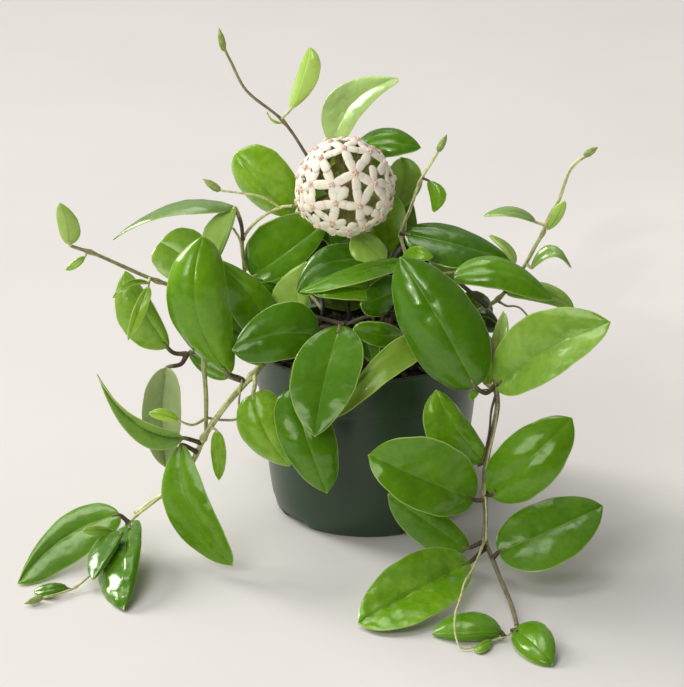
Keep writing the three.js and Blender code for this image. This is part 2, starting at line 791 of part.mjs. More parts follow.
const backLeft = {
  vines: [
    {
      thickness: 3.6,
      root: [-30, 32],
      path: [at(-31, 40, 132), seen(310, 280, -52), seen(316, 246, -52), seen(326, 222, -52)],
    },
    {
      thickness: 3,
      path: [
        at(-30, 37, 126), at(-38, 52, 130), at(-50, 68, 124), at(-58, 80, 104), at(-60, 86, 78),
      ],
    },
  ],
  leaves: [
    leaf(seen(308, 262, -58), seen(282, 262, -76), seen(252, 284, -84),
      seen(286, 239, -64), seen(286, 291, -84)),
    leaf(seen(304, 290, -60), seen(278, 318, -78), seen(256, 350, -84),
      seen(262, 306, -72), seen(300, 332, -80)),
    leaf(seen(322, 234, -54), seen(334, 190, -66), seen(346, 148, -66), seen(300, 196, -62),
      seen(364, 200, -62)),
    leaf(seen(322, 262, -58), seen(342, 262, -76), seen(362, 280, -88),
      seen(342, 244, -68), seen(342, 290, -84)),
    arched(at(-52, 66, 124), at(-86, 62, 122), 16, 5, -0.3),
    arched(at(-57, 84, 100), at(-72, 108, 62), 17, 8, 0.2),
    arched(at(-60, 88, 80), at(-48, 104, 40), 14, 6, -0.4),
    arched(at(-50, 72, 128), at(-32, 102, 138), 14, 5, 0.2),
  ],
};

const backRight = {
  vines: [
    {
      thickness: 3.6,
      root: [34, 34],
      path: [at(36, 42, 132), seen(424, 284, -52), seen(420, 258, -52), seen(412, 238, -52)],
    },
    {
      thickness: 3,
      path: [at(35, 39, 126), at(46, 52, 130), at(58, 64, 124), at(66, 74, 106)],
    },
  ],
  leaves: [
    leaf(seen(430, 268, -56), seen(458, 262, -70), seen(497, 274, -80),
      seen(456, 244, -62), seen(456, 284, -78)),
    leaf(seen(424, 292, -62), seen(440, 322, -84), seen(455, 352, -92),
      seen(461, 312, -84), seen(418, 328, -84)),
    leaf(seen(410, 240, -54), seen(397, 204, -64), seen(396, 164, -66), seen(372, 206, -60),
      seen(415, 212, -58)),
    leaf(seen(412, 268, -56), seen(390, 262, -74), seen(362, 274, -84), seen(394, 244, -66),
      seen(388, 289, -82)),
    arched(at(60, 66, 122), at(86, 58, 116), 14, 4, 0.3),
    arched(at(66, 76, 104), at(70, 100, 66), 16, 8, -0.2),
    arched(at(50, 56, 130), at(34, 86, 128), 15, 7, -0.2),
  ],
};

// The umbel: a ball of star flowers on pedicels that spread from one hub. Each
// flower is a thick star with ridged petals, which narrows to its pedicel.

const FLOWERS_SEEN = [
  [322, 159], [344, 150], [368.6, 152.5], [384, 163], [355, 173.6], [373, 183.6], [332, 185],
  [311, 184], [393, 192], [298.7, 201], [314, 206], [336, 203], [359, 206], [379, 215],
  [319, 225], [348.5, 230],
];

function flower(centre, direction, spin) {
  const { petals, starRadius, innerRadius, ball, hub, pedicelRadius } = UMBEL;
  const circle = (count, radiusOf, height) => Array.from({ length: count }, (_, corner) => {
    const angle = spin + (corner / count) * 2 * Math.PI;
    const radius = radiusOf(corner);
    return [radius * Math.cos(angle), radius * Math.sin(angle), height(corner)];
  });
  const tipAt = (corner) => corner % 2 === 1;
  const corners = circle(
    petals * 2,
    (corner) => (tipAt(corner) ? starRadius : innerRadius),
    (corner) => (tipAt(corner) ? ball - UMBEL.cup : ball),
  );
  const neck = circle(petals, () => pedicelRadius, () => ball - UMBEL.calyx);
  const root = circle(petals, () => pedicelRadius, () => hub - 2);
  const positions = [[0, 0, ball + UMBEL.corona], ...corners, ...neck, ...root].flat();
  const faces = [];
  for (let petal = 0; petal < petals; petal += 1) {
    const next = (petal + 1) % petals;
    const [a, tip, b] = [1 + petal * 2, 2 + petal * 2, 1 + next * 2];
    const [c, d] = [1 + petals * 2 + petal, 1 + petals * 2 + next];
    const [e, f] = [c + petals, d + petals];
    faces.push(0, a, tip, 0, tip, b, a, b, tip);
    faces.push(a, c, b, b, c, d, c, e, d, d, e, f);
  }
  for (let petal = 1; petal < petals - 1; petal += 1) {
    const first = 1 + petals * 3;
    faces.push(first, first + petal + 1, first + petal);
  }
  const geometry = new THREE.BufferGeometry();
  geometry.setAttribute('position', new THREE.Float32BufferAttribute(positions, 3));
  geometry.setIndex(faces);
  return placed(geometry, centre, direction);
}

// The direction from the ball's centre to the near side of it seen there
function onBall(across, down, centre) {
  const sight = ray(across, down).normalize();
  const toCentre = centre.clone().sub(EYE);
  const near = toCentre.dot(sight);
  const miss = toCentre.distanceTo(sight.clone().multiplyScalar(near));
  const back = Math.sqrt(Math.max(0, UMBEL.ball ** 2 - miss ** 2));
  return EYE.clone().addScaledVector(sight, near - back).sub(centre).normalize();
}

// The flowers in view have their places, and the rest fill an even spiral
// wherever there is room, more loosely at the back.
function flowerDirections(centre) {
  const directions = FLOWERS_SEEN.map(([across, down]) => onBall(across, down, centre));
  for (let order = 0; order < UMBEL.tries; order += 1) {
    const height = 1 - (2 * (order + 0.5)) / UMBEL.tries;
    const ring = Math.sqrt(1 - height * height);
    const turn = order * goldenTurn;
    const heading = at(ring * Math.cos(turn), ring * Math.sin(turn), height);
    const gap = heading.dot(sightline) < UMBEL.behind ? UMBEL.apart : UMBEL.apartBehind;
    const nearest = Math.min(...directions.map((other) => other.distanceTo(heading)));
    if (nearest * UMBEL.ball > gap) directions.push(heading);
  }
  return directions;
}

function umbel() {
  const { across, down, toward } = UMBEL.place;
  const centre = seen(across, down, toward);
  const hub = new THREE.IcosahedronGeometry(UMBEL.hub, 0);
  hub.translate(centre.x, centre.y, centre.z);
  const solids = [solidOf(hub)];
  flowerDirections(centre).forEach((direction, order) => {
    solids.push(flower(centre, direction, order));
  });
  const stalk = [centre, seen(322, 198, 17), seen(293.4, 206.2, 13.2)];
  solids.push(tube(course(stalk, STEM.step), UMBEL.stalk, STEM.sides));
  return fuse(solids);
}

// The pot: a shell turned round the axis, with notches at its foot that let
// water out

function pot() {
  const inner = POT.rimRadius - POT.wall;
  const bandFoot = POT.height - POT.bandHeight;
  const profile = [
    [0, 0], [POT.footRadius, 0], [POT.footRadius + POT.footFlare, POT.footHeight],
    [POT.waistRadius, POT.waistHeight], [POT.bodyRadius, bandFoot],
    [POT.rimRadius - POT.lip / 2, bandFoot], [POT.rimRadius, POT.height - POT.lip * 2],
    [POT.rimRadius - POT.lip, POT.height], [inner, POT.height],
    [POT.bodyRadius - POT.wall, bandFoot - 2], [POT.waistRadius - POT.wall, POT.waistHeight],
    [POT.footRadius, POT.floor], [0, POT.floor],
  ].map(([r, z]) => new THREE.Vector2(r, z));
  const shell = new THREE.LatheGeometry(profile, POT.sides);
  shell.rotateX(Math.PI / 2);
  let solid = solidOf(shell);
  for (let order = 0; order < POT.notches; order += 1) {
    const angle = THREE.MathUtils.degToRad(POT.notchTurn + (order * 360) / POT.notches);
    const width = 2 * POT.footRadius * Math.tan(THREE.MathUtils.degToRad(POT.notchAngle / 2));
    const cut = new THREE.BoxGeometry(POT.notchReach, width, POT.notchHeight * 2);
    cut.translate(POT.footRadius + POT.notchReach / 2 - 2, 0, 0);
    cut.rotateZ(angle);
    solid = solid.subtract(solidOf(cut));
  }
  return solid;
}

// The bark mix: it fills the pot, is mounded a little, is rough with chips,
// and has a plain hole for each stem.

function mixBody() {
  const bandFoot = POT.height - POT.bandHeight;
  const edge = POT.height - MIX.edgeDepth;
  const floor = POT.floor + MIX.gap;
  const wall = (z) => {
    const share = (z - POT.waistHeight) / (bandFoot - POT.waistHeight);
    const outer = POT.waistRadius + (POT.bodyRadius - POT.waistRadius) * share;
    return Math.min(outer, POT.bodyRadius) - POT.wall - MIX.gap * 1.6;
  };
  const profile = [
    [0, floor], [POT.footRadius - 1.5, floor], [wall(POT.waistHeight), POT.waistHeight + 0.5],
    [wall(bandFoot - 3), bandFoot - 3], [wall(edge), edge],
  ];
  for (let ring = 1; ring <= MIX.rings; ring += 1) {
    const share = 1 - ring / MIX.rings;
    const wave = ring === MIX.rings ? 0 : (ring % 2) * MIX.wave;
    profile.push([wall(edge) * share, edge + (MIX.mound + wave) * (1 - share * share)]);
  }
  const body = new THREE.LatheGeometry(
    profile.map(([r, z]) => new THREE.Vector2(r, z)), MIX.sides,
  );
  body.rotateX(Math.PI / 2);
  return solidOf(body);
}

function barkChip(order) {
  const [length, width, height] = MIX.chipSize;
  const share = Math.sqrt((order + 0.5) / MIX.chips);
  const angle = order * goldenTurn;
  const chip = new THREE.BoxGeometry(length + (order % 4) * 2, width + (order % 3) * 2, height);
  chip.rotateX(0.3 * Math.sin(order * 2.3));
  chip.rotateY(0.35 * Math.cos(order * 1.7));
  chip.rotateZ(order * 1.1);
  chip.translate(
    MIX.chipSpread * share * Math.cos(angle),
    MIX.chipSpread * share * Math.sin(angle),
    POT.height - MIX.edgeDepth + MIX.mound * (1 - share * share) - 0.5,
  );
  return solidOf(chip);
}

function stemHole(vine) {
  const radius = (vine.thickness / 2 + MIX.holeClearance) / Math.cos(Math.PI / MIX.holeSides);
  const hole = new THREE.CylinderGeometry(radius, radius, MIX.holeLength, MIX.holeSides);
  hole.rotateX(Math.PI / 2);
  const foot = POT.height - STEM.rootDepth - MIX.holeClearance;
  hole.translate(vine.root[0], vine.root[1], foot + MIX.holeLength / 2);
  return solidOf(hole);
}

function pottingMix(plans) {
  let solid = mixBody();
  for (let order = 0; order < MIX.chips; order += 1) solid = solid.add(barkChip(order));
  for (const vine of plans.flatMap((plan) => plan.vines)) {
    if (vine.root) solid = solid.subtract(stemHole(vine));
  }
  return solid;
}

// The whole

const LOOKS = {
  pot: { color: 0x22301f, roughness: 0.45 },
  mix: { color: 0x2b1f17, roughness: 0.95 },
  umbel: { color: 0xf6e9e4, roughness: 0.55 },
  dark: { color: 0x2f6b1c, roughness: 0.3 },
  mid: { color: 0x3f8420, roughness: 0.3 },
  bright: { color: 0x5b9e23, roughness: 0.28 },
};

function piece(name, solid, look) {
  const material = new THREE.MeshStandardMaterial({ ...look, metalness: 0 });
  const mesh = new THREE.Mesh(geometryOf(solid), material);
  mesh.name = name;
  return mesh;
}

const stems = [
  ['trailing_stem_left', trailingLeft, LOOKS.bright],
  ['trailing_stem_right', trailingRight, LOOKS.bright],
  ['stem_front', front, LOOKS.bright],
  ['stem_middle', middle, LOOKS.mid],
  ['flower_stem', flowerStem, LOOKS.mid],
  ['stem_left', left, LOOKS.mid],
  ['stem_top_left', topLeft, LOOKS.mid],
  ['stem_top', top, LOOKS.dark],
  ['stem_centre_right', centreRight, LOOKS.mid],
  ['stem_right_top', rightTop, LOOKS.bright],
  ['stem_back', back, LOOKS.dark],
  ['stem_back_left', backLeft, LOOKS.dark],
  ['stem_back_right', backRight, LOOKS.dark],
];

const hoya = new THREE.Group();
hoya.add(piece('pot', pot(), LOOKS.pot));
hoya.add(piece('potting_mix', pottingMix(stems.map(([, plan]) => plan)), LOOKS.mix));
for (const [name, plan, look] of stems) hoya.add(piece(name, leafyStem(plan), look));
hoya.add(piece('umbel', umbel(), LOOKS.umbel));

export default hoya;
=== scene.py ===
# A potted Hoya australis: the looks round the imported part. Metres, +Z up, the
# pot's foot centred on the origin, and the plant's front towards -Y. Places
# and sizes of the plant are in millimetres, and MM scales them to the scene.

import math
import random

import bpy
import numpy as np
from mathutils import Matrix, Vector

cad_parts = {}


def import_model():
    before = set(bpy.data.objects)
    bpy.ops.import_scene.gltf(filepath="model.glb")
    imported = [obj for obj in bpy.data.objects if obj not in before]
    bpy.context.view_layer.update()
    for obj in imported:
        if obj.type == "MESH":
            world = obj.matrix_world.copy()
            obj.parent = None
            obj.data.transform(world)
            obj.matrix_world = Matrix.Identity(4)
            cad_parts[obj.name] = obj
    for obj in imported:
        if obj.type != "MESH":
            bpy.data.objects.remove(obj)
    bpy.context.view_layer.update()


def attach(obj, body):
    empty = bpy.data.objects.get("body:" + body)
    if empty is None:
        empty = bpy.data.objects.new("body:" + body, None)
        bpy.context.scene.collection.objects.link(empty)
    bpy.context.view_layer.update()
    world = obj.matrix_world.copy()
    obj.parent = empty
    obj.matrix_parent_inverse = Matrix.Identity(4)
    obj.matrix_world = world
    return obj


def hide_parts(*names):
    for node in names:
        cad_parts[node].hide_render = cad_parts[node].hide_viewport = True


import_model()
MM = 0.001

# The viewpoint. A place is a step across and down the view, with its depth
# towards the viewer in millimetres, or a place near the ground with its height.

VIEW = dict(
    centre_across=342, centre_down=343.5, focal=3235, tilt=20.5, image=687, sensor=36, clip_end=50,
)
EYE = np.array([-17, -2022.9, 871.7])
TILT = math.radians(VIEW["tilt"])
SIGHTLINE = np.array([0, math.cos(TILT), -math.sin(TILT)])
UPWARD = np.array([0, math.sin(TILT), math.cos(TILT)])
RIGHTWARD = np.array([1.0, 0, 0])


def ray(across, down):
    sideways = (across - VIEW["centre_across"]) / VIEW["focal"]
    upwards = (VIEW["centre_down"] - down) / VIEW["focal"]
    return SIGHTLINE + RIGHTWARD * sideways + UPWARD * upwards


def seen(across, down, toward):
    sight = ray(across, down)
    return EYE + sight * ((-toward - EYE[1]) / sight[1])


def low(across, down, height):
    sight = ray(across, down)
    return EYE + sight * ((height - EYE[2]) / sight[2])


def at(x, y, z):
    return np.array([x, y, z], float)


def place(point):
    return seen(*point) if isinstance(point, tuple) else point


def unit(vector):
    return vector / np.maximum(np.linalg.norm(vector, axis=-1, keepdims=True), 1e-9)


# Sizes in millimetres, and shares of a size

LEAF = dict(
    round=0.5, point=0.6, fold=1.8, thickness=0.9, thin_edge=0.45, rim=0.22, tip=0.02, bulge=0.07,
    bulge_ends=0.7, crease=0.25, crease_width=1.3, crease_ends=5, quilt=0.5, quilt_ends=8,
    waves=(19, 14, 11, 9), swell_span=2.6, wander=((0.012, 17), (0.008, 31)), first_row=0.12,
    last_row=0.1, rows_per_mm=0.36, fewest_rows=9, small=34, small_relief=0.6, vein_gap=7.5,
    vein_slant=0.75, tip_slope=0.5, tip_inset=0.15, off_rib=9, tone_range=(-0.05, 0.05),
)
STEM = dict(
    sides=12, step=2.2, root=(-16, -4, 7), thickest=0.92, taper=0.27, ripple=0.03, ripple_pace=0.55,
    knot_width=2.4, knot_swell=1.55, knot_tint=0.7,
)
PETIOLE = dict(
    sides=10, step=1.3, sunk=0.06, flare=0.35, flare_reach=0.15, taper=0.25, greens_from=0.55, greening=1.6,
)
BUD = dict(
    rows=15, dim=0.8, paling=0.4,
    outline=((0, 0.3), (0.06, 0.7), (0.3, 1), (0.65, 0.84), (0.9, 0.3), (1, 0.05)),
)
POT = dict(
    rim=75, height=118, band=27, body=73.4, waist=64, waist_height=12, foot=58.5, flare=3.2,
    foot_height=4, floor=3, wall=1.6, notches=4, notch_angle=26, notch_turn=35.5, notch_height=5,
    notch_depth=6, notch_row=3, turns=224,
)
GOLDEN_TURN = math.pi * (3 - math.sqrt(5))
PHASE = (0, 6)
EITHER_WAY = (-1, 1)

# Tones of a leaf, from the oldest and darkest to the youngest. Tones near DARK
# are near black: painted deep shade for leaves inside the plant.

DARK, DEEP, MID, FRESH, BRIGHT, YOUNG = 0.0, 0.3, 0.6, 0.75, 0.9, 1.0

# A stem's plan lists its vines, its knots, its leaves and its buds. A leaf's places
# are its base, middle and tip, and its left and right edges where it is widest.


# A vine's age runs from 0, young, to 1, old; above 1 it paints deep shade onto old bark.
def vine(thickness, path, root=None, age_and_shade=(0.8, 0.6)):
    return dict(kind="vine", thickness=thickness, path=path, root=root, age_and_shade=age_and_shade)


def knots(*places):
    return dict(kind="knots", places=places)


# A leaf may carry painted sheen: a pale grey-green cast that stands for a broad highlight on its surface.
def leaf(base, middle, tip, left, right, **more):
    base, middle, tip, left, right = map(place, (base, middle, tip, left, right))
    usual = dict(
        kind="leaf", tone=MID, start=None, by=(), petiole=3, green_stalk=False, under=False, quilt=1,
        bloom=0, round=LEAF["round"], point=LEAF["point"], fold=LEAF["fold"],
    )
    return {**usual, **dict(base=base, middle=middle, tip=tip, edges=(left, right)), **more}


def widest_of(shape):
    return shape["round"] / (shape["round"] + shape["point"])


def bud(base, tip, thickness):
    return dict(kind="bud", base=place(base), tip=place(tip), thickness=thickness)


def arched(base, tip, half, arch, tilt=0, tone=DEEP):
    """A leaf of the far side: its base, tip, half width and the height of its arch."""
    out = unit(tip - base)
    across = unit(np.cross(out, at(0, 0, 1)))
    across = across * math.cos(tilt) + np.cross(out, across) * math.sin(tilt)
    above = np.cross(across, out)
    middle = (base + tip) / 2 + above * arch
    widest_at = base + (tip - base) * widest_of(LEAF) + above * (arch * 0.7)
    return leaf(base, middle, tip, widest_at - across * half, widest_at + across * half, tone=tone)


# The trailing stem over the left of the rim, and the big leaf above it

TRAILING_LEFT = [
    vine(5.1, [at(-49, -33, 125), (265, 362, 47), (252, 376, 60), (230, 400, 72), (215, 420, 78),
         (204, 437, 80), (195, 457, 80), (173, 488, 76), (153, 501, 74), (136, 514, 72)], root=(-40, -22),
         age_and_shade=(0.3, 0.05)),
    vine(2.2, [(204, 437, 80), (190, 463, 82), (160, 497, 79), (134, 518, 76), (121, 534, 86),
         low(100, 563, 12), low(88, 577, 6), low(76, 587, 3), low(61, 593, 3), low(42, 598, 3.2)],
         age_and_shade=(0.2, 0.05)),
    vine(3.9, [(203, 344, 58), (204, 368, 65), (206, 396, 72), (206, 432, 80)], age_and_shade=(0.6, 0.5)),
    vine(2, [(208, 418, 77), (222, 420, 78), (238, 418, 77), (239, 400, 74), (242, 380, 66)],
         age_and_shade=(0.8, 0.5)),
    knots((204, 438, 80), (135, 515, 73), (252, 376, 60), low(76, 587, 3.2)),
    # big leaf at the front left
    leaf((229, 374, 62), (196, 308, 76), (203, 236, 60), (167, 303, 66), (229, 300, 62),
         by=[(240, 378, 60)], tone=0.66, round=0.7),
    # bright leaf at the left of the rim
    leaf((253, 395, 78), (266, 434, 90), (290, 466, 84), (240, 434, 82), (287, 411, 78),
         start=(254, 374, 58), by=[(255, 384, 70)], green_stalk=True, tone=0.88),
    # drooping leaf
    leaf((181, 445, 86), (190, 506, 104), (232.5, 566, 120), (167, 515, 98), (209, 500, 108), tone=0.7,
         round=0.6),
    # horn leaf, folded along its rib
    leaf((184, 438, 84), (137, 424, 84), (97, 374, 74), (146, 422, 96), (146, 447, 96), fold=1.15,
         tone=0.75, point=1, bloom=0.25),
    # small leaf over the horn leaf
    leaf((178, 420, 102), (164, 414.5, 105), (149, 413.5, 104), (166, 409, 103), (164, 421, 105),
         by=[(192, 425, 92)], petiole=1.8, green_stalk=True, tone=YOUNG),
    # small hanging leaf
    leaf((217, 431, 84), (219, 455, 88), (219, 480, 88), (211, 452, 86), (226, 452, 88), petiole=1.8,
         green_stalk=True, tone=0.8),
    # the first leaf that reaches the ground
    leaf((119, 515, 76), low(64, 538, 15), low(17.5, 584, 1.6), low(66, 514, 24), low(84, 556, 8),
         round=0.6, tone=0.6, fold=2.6, bloom=0.05),
    # the second
    leaf(low(131, 524, 20), low(123, 568, 15), low(124, 610, 2), low(98, 566, 6), low(141, 546, 21),
         tone=0.48, quilt=3),
    # small leaf in front of them
    leaf(low(122, 533, 25), low(107, 555, 19), low(93, 580, 9), low(93, 546, 17), low(112, 556, 19),
         tone=0.4),
    # pale sprout that lies over them
    leaf((121, 534, 88), (102, 530, 100), (83, 531, 106), (100, 526, 100), (101, 536, 101), petiole=1.2,
         tone=0.98, bloom=0.15),
    # leaf whose lower edge shows under the big one
    leaf((229, 377, 52), (208, 368, 46), (188, 352, 38), (206, 357, 42), (207, 376, 48),
         start=(240, 380, 62)),
    # light leaf, edge on, under the low dark one
    leaf((264, 362, 52), (248, 357.5, 57), (232, 349, 58), (247, 353, 56), (249, 363, 58), petiole=1.6,
         tone=FRESH),
    # small leaf on the ground
    leaf(low(67, 588, 3), low(50, 590, 5), low(34, 592, 1.4), low(51, 583, 7), low(50, 597, 2), petiole=1.6,
         tone=0.5),
    bud(low(43, 597, 3.2), low(24, 604, 2.4), 4.6),
]

# The trailing stem over the right of the rim

TRAILING_RIGHT = [
    vine(4.4, [at(52, -28, 128), (470, 331, 45), (488, 338, 60), (494, 360, 72), (496, 388, 80),
         (497.5, 404, 84), (493, 431, 90), (488, 453, 95), (484.5, 475, 98), (484.5, 494, 103),
         (485.6, 518, 109), low(484.5, 541, 22), low(489, 551, 18), low(500, 578, 10), low(511, 604, 5),
         low(517, 626, 3.4)], root=(44, -18), age_and_shade=(1, 0.95)),
    vine(1.9, [low(484.5, 541, 22), low(474, 567, 22), low(465, 582, 21), low(460, 600, 20),
         low(455, 617, 17), low(456, 637, 7), low(461.5, 648, 2), low(474, 647, 1.8), low(491, 641, 2.4),
         low(508, 635, 3.2), low(516, 627, 3.6)], age_and_shade=(0.15, 0.05)),
    # the thin vine that runs along the front of the old one
    vine(1.5, [(498, 404, 86), (494.5, 431, 92.5), (489, 453, 97.5), (485.5, 475, 100.5),
         (485.5, 494, 105.5), (486.5, 518, 111.5), low(486, 541, 24)], age_and_shade=(0.45, 0.1)),
    knots((484.5, 494, 103), low(484.5, 542, 22), low(516, 627, 3.6), (495, 388, 80), low(460, 600, 20)),
    # big leaf that faces the viewer
    leaf((475, 386, 92), (440, 322, 86), (400, 257, 66), (411, 350, 79), (479, 313, 75),
         by=[(486, 393, 86)], tone=0.46),
    # bright leaf out to the right
    leaf((496, 387, 80), (550, 347, 96), (611, 322, 102), (523, 319, 84), (552, 379, 116), tone=0.84,
         point=0.68, bloom=0.1),
    # small bract under the joint
    leaf((478, 390, 88), (474, 392, 89), (470.5, 400, 88), (471, 391, 88), (477, 396, 89), petiole=1,
         tone=MID),
    # pale leaves behind them
    leaf((488, 386, 76), (487, 362, 66), (489, 337, 60), (479, 366, 70), (495, 364, 64), tone=YOUNG),
    leaf((496, 382, 70), (498, 344, 58), (503.5, 311, 52), (489, 354, 60), (508, 350, 62), tone=YOUNG,
         bloom=0.35),
    # the leaves down the vine, from the top
    leaf((485, 462, 96), (455, 427, 102), (436, 390, 94), (431, 444, 104), (471, 425, 94),
         start=(491, 392, 84), petiole=1.5, by=[(491.5, 410, 87), (489.5, 430, 92), (486, 448, 96),
         (483, 460, 98), (478, 466, 98)], tone=0.72, quilt=3),
    leaf((473.6, 500, 104), (421, 478, 122), (368, 455, 118), (446, 443, 124), (417, 510, 132), tone=0.62,
         quilt=2.4),
    leaf((491, 495, 106), (532, 457, 112), (572, 418, 100), (505, 441, 100), (548, 486, 118), tone=0.6),
    leaf(low(499, 552, 20), low(551, 530, 33), low(603, 506, 42), low(530, 505, 44), low(557, 566, 19),
         tone=0.53),
    leaf((467, 548, 112), (427, 521, 106), (388, 494, 98), (421, 545, 104), (441, 513, 104), tone=0.5),
    leaf(low(469, 563, 14), low(413, 592, 12), low(358, 624, 3), low(404, 557, 26), low(435, 615, 8),
         start=low(487, 548, 19), quilt=3, tone=0.82),
    leaf(low(501, 632, 5), low(470, 632, 8), low(432, 634, 1.8), low(471, 612, 12), low(474, 640.5, 2.2),
         tone=0.6),
    leaf(low(515, 630, 5), low(535, 645, 8), low(552.5, 665, 1.6), low(546, 626, 12), low(521, 654, 1.8),
         tone=0.57),
    # young leaf on the thin shoot
    leaf(low(491, 642, 3), low(482, 644, 4), low(474, 650, 1.2), low(486, 640, 4), low(484, 652, 1.6),
         green_stalk=True, petiole=1.4, tone=FRESH),
]

# Leaves over the front of the rim

FRONT = [
    vine(4, [at(-19, -40, 126), (334, 336, 50), (314, 352, 62)], root=(-14, -30), age_and_shade=(2, 1.6)),
    # leaf in front of the pot
    leaf((292, 390, 80), (308, 442, 104), (327, 493, 106), (278, 437, 98), (333, 428, 96),
         by=[(294, 366, 73)], tone=0.5),
    # leaf that hangs over the rim
    leaf((340, 326, 64), (324, 384, 93), (315, 437, 115), (292, 369, 84), (361, 371, 94),
         start=(334, 336, 50), tone=0.5, point=0.8),
    # low dark leaf to the left
    leaf((318, 336, 52), (278, 334, 62), (232, 350, 66), (284, 302, 52), (284, 360, 66),
         start=(325, 343, 56), tone=0.36, point=0.45),
]

# The middle of the plant, under the umbel

MIDDLE = [
    vine(4, [at(13, -15, 129), (396, 310, 30), (404, 290, 30), (402, 268, 22)], root=(12, -12),
         age_and_shade=(2, 1.4)),
    vine(3, [(394, 312, 30), (362, 318, 36), (345, 325, 40)], age_and_shade=(1.6, 1.3)),
    vine(3, [(397, 306, 30), (424, 330, 50), (428, 342, 62)], age_and_shade=(1.6, 0.8)),
    # long pale leaf, seen from below
    leaf((428, 345, 62), (382, 362, 80), (333, 418, 86), (392, 342, 76), (398, 374, 84), tone=0.8,
         under=True),
    leaf((403, 336, 52), (378, 335, 66), (353, 329, 70), (379, 322, 64), (380, 347, 68),
         start=(397, 308, 31), petiole=2, tone=0.55),
    # dark leaf over the soil
    leaf((398, 290, 30), (384, 296, 40), (360, 304, 46), (384, 276, 36), (382, 316, 42), tone=0.35),
    # leaves seen nearly edge on
    leaf((402, 262, 26), (352, 272, 46), (300, 292, 52), (365, 263, 32), (366, 281, 60), tone=0.65),
    leaf((380, 294, 36), (350, 287, 46), (311, 292, 48), (348, 277, 42), (350, 300, 50),
         start=(398, 304, 30), tone=FRESH),
    # pale curled end
    leaf((402, 260, 30), (418, 253, 36), (433, 257, 38), (415, 246, 32), (414, 262, 38), petiole=2,
         tone=0.78),
    # dark leaf to its left
    leaf((392, 266, 20), (332, 262, 26), (297, 292, 32), (331, 245, 16), (344, 282, 36), tone=0.3,
         point=0.5),
    # pale leaf just below the umbel
    leaf((384, 262, 20), (370, 248, 18), (355, 233, 12), (355, 259, 24), (381, 241, 8), tone=0.93,
         bloom=0.15),
    # light leaf at the left
    leaf((301, 311, 22), (297, 287, 20), (306, 262, 18), (272, 296, 20), (312, 280, 20),
         start=(345, 325, 40), tone=0.98, bloom=0.2),
    leaf((362, 322, 36), (368, 345, 60), (372, 362, 76), (359, 345, 60), (379, 345, 60), petiole=2,
         tone=0.5),
]

# The climbing stem that carries the umbel, and the young bud

FLOWER_STEM = [
    vine(3, [at(-36, -4, 128), (262, 308, 10), (246, 278, 12), (243, 255, 12), (243, 240, 12),
         (250, 228, 12), (262, 217, 12), (282, 207, 12), (292, 206, 13)], root=(-26, 0), age_and_shade=(1.3, 0.25)),
    vine(2, [(280, 208, 12), (262, 197, 14), (240, 193, 14), (219, 190, 14), (217, 189, 14)],
         age_and_shade=(0.35, 0.2)),
    vine(2.4, [(247, 270, 12), (243, 258, 14), (240, 240, 16), (233, 228, 16)], age_and_shade=(0.6, 0.5)),
    # leaf under the umbel
    leaf((253, 277, 12), (290, 250, 2), (326, 222, -18), (261, 226, -2), (296, 269, 10), green_stalk=True,
         tone=MID),
    # long blade seen edge on
    leaf((233, 207, 12), (176, 206, 8), (113, 240, 14), (191, 203.5, -8), (191, 214, 26),
         start=(243, 240, 12), by=[(240, 222, 13)], petiole=2, tone=0.5, point=1.15, bloom=0.22),
    # twisted leaf
    leaf((235, 207, 14), (227, 232, 24), (217, 260, 24), (203, 233, 12), (231, 230, 20), fold=1.15,
         start=(244, 240, 13), by=[(241, 222, 13)], petiole=2.4, tone=BRIGHT, bloom=0.3),
    bud((220, 190.5, 14), (203, 179, 16), 5.4),
]

# The shoot out to the left

LEFT = [
    vine(3.6, [at(-62, 0, 130), (232, 322, 22), (205, 298, 34), (180, 288, 40), (157, 281, 42),
         (140, 274, 42), (120, 265, 42), (100, 256, 42), (90, 252, 42), (80, 249, 42), (71, 246, 42)],
         root=(-48, 4), age_and_shade=(0.8, 0.75)),
    vine(3.4, [(225, 314, 26), (213, 335, 38), (200, 350, 48), (187, 354, 54)], age_and_shade=(1, 1)),
    knots((157, 281, 42), (90, 252, 42), (186, 354, 54)),
    # leaf in the middle of the left side
    leaf((167, 347, 58), (142, 307, 64), (125, 271, 54), (121, 327, 66), (156, 309, 54),
         by=[(174, 353, 55)], round=0.6, tone=0.85, bloom=0.06),
    # folded leaf that hangs
    leaf((166, 368, 62), (162, 418, 64), (166, 468, 68), (142, 412, 76), (181, 412, 72), fold=1.15,
         start=(187, 354, 54), by=[(181, 364, 58)], tone=0.98, bloom=0.8),
    # thin curved leaf
    leaf((148, 283, 58), (127, 283, 70), (113, 298, 74), (131, 280, 68), (132, 286, 71), petiole=1.8,
         green_stalk=True, tone=0.8),
    # slender leaf
    leaf((148, 287, 52), (138, 312, 78), (128, 340, 82), (134, 308, 78), (147, 310, 76), petiole=1.8,
         green_stalk=True, tone=BRIGHT),
    # young leaves at the end
    leaf((69, 244, 42), (67, 224, 46), (60, 203, 44), (58, 226, 44), (80, 227, 42), fold=1.15, petiole=1.8,
         tone=YOUNG, bloom=0.3),
    leaf((85, 257, 44), (76, 264, 46), (66, 270, 46), (75, 260, 44), (78, 267, 47), petiole=1.6,
         green_stalk=True, tone=0.82),
    # leaf behind the big one, to the right
    leaf((268, 334, 24), (250, 296, 36), (212, 258, 36), (234, 318, 40), (273, 297, 26),
         start=at(-61, 0, 129), tone=0.7),
    # shaded leaf under it, its deep tone painted shade
    leaf((262, 342, 20), (240, 332, 24), (216, 322, 24), (238, 310, 22), (244, 352, 24), tone=DEEP),
    # leaf behind the big one, to the left
    leaf((214, 282, 24), (186, 258, 17), (160, 243, 9), (199, 233, 3), (163, 275, 26), start=(205, 298, 34),
         tone=0.9, fold=2.4, bloom=0.1),
]

# The tall shoot at the top left

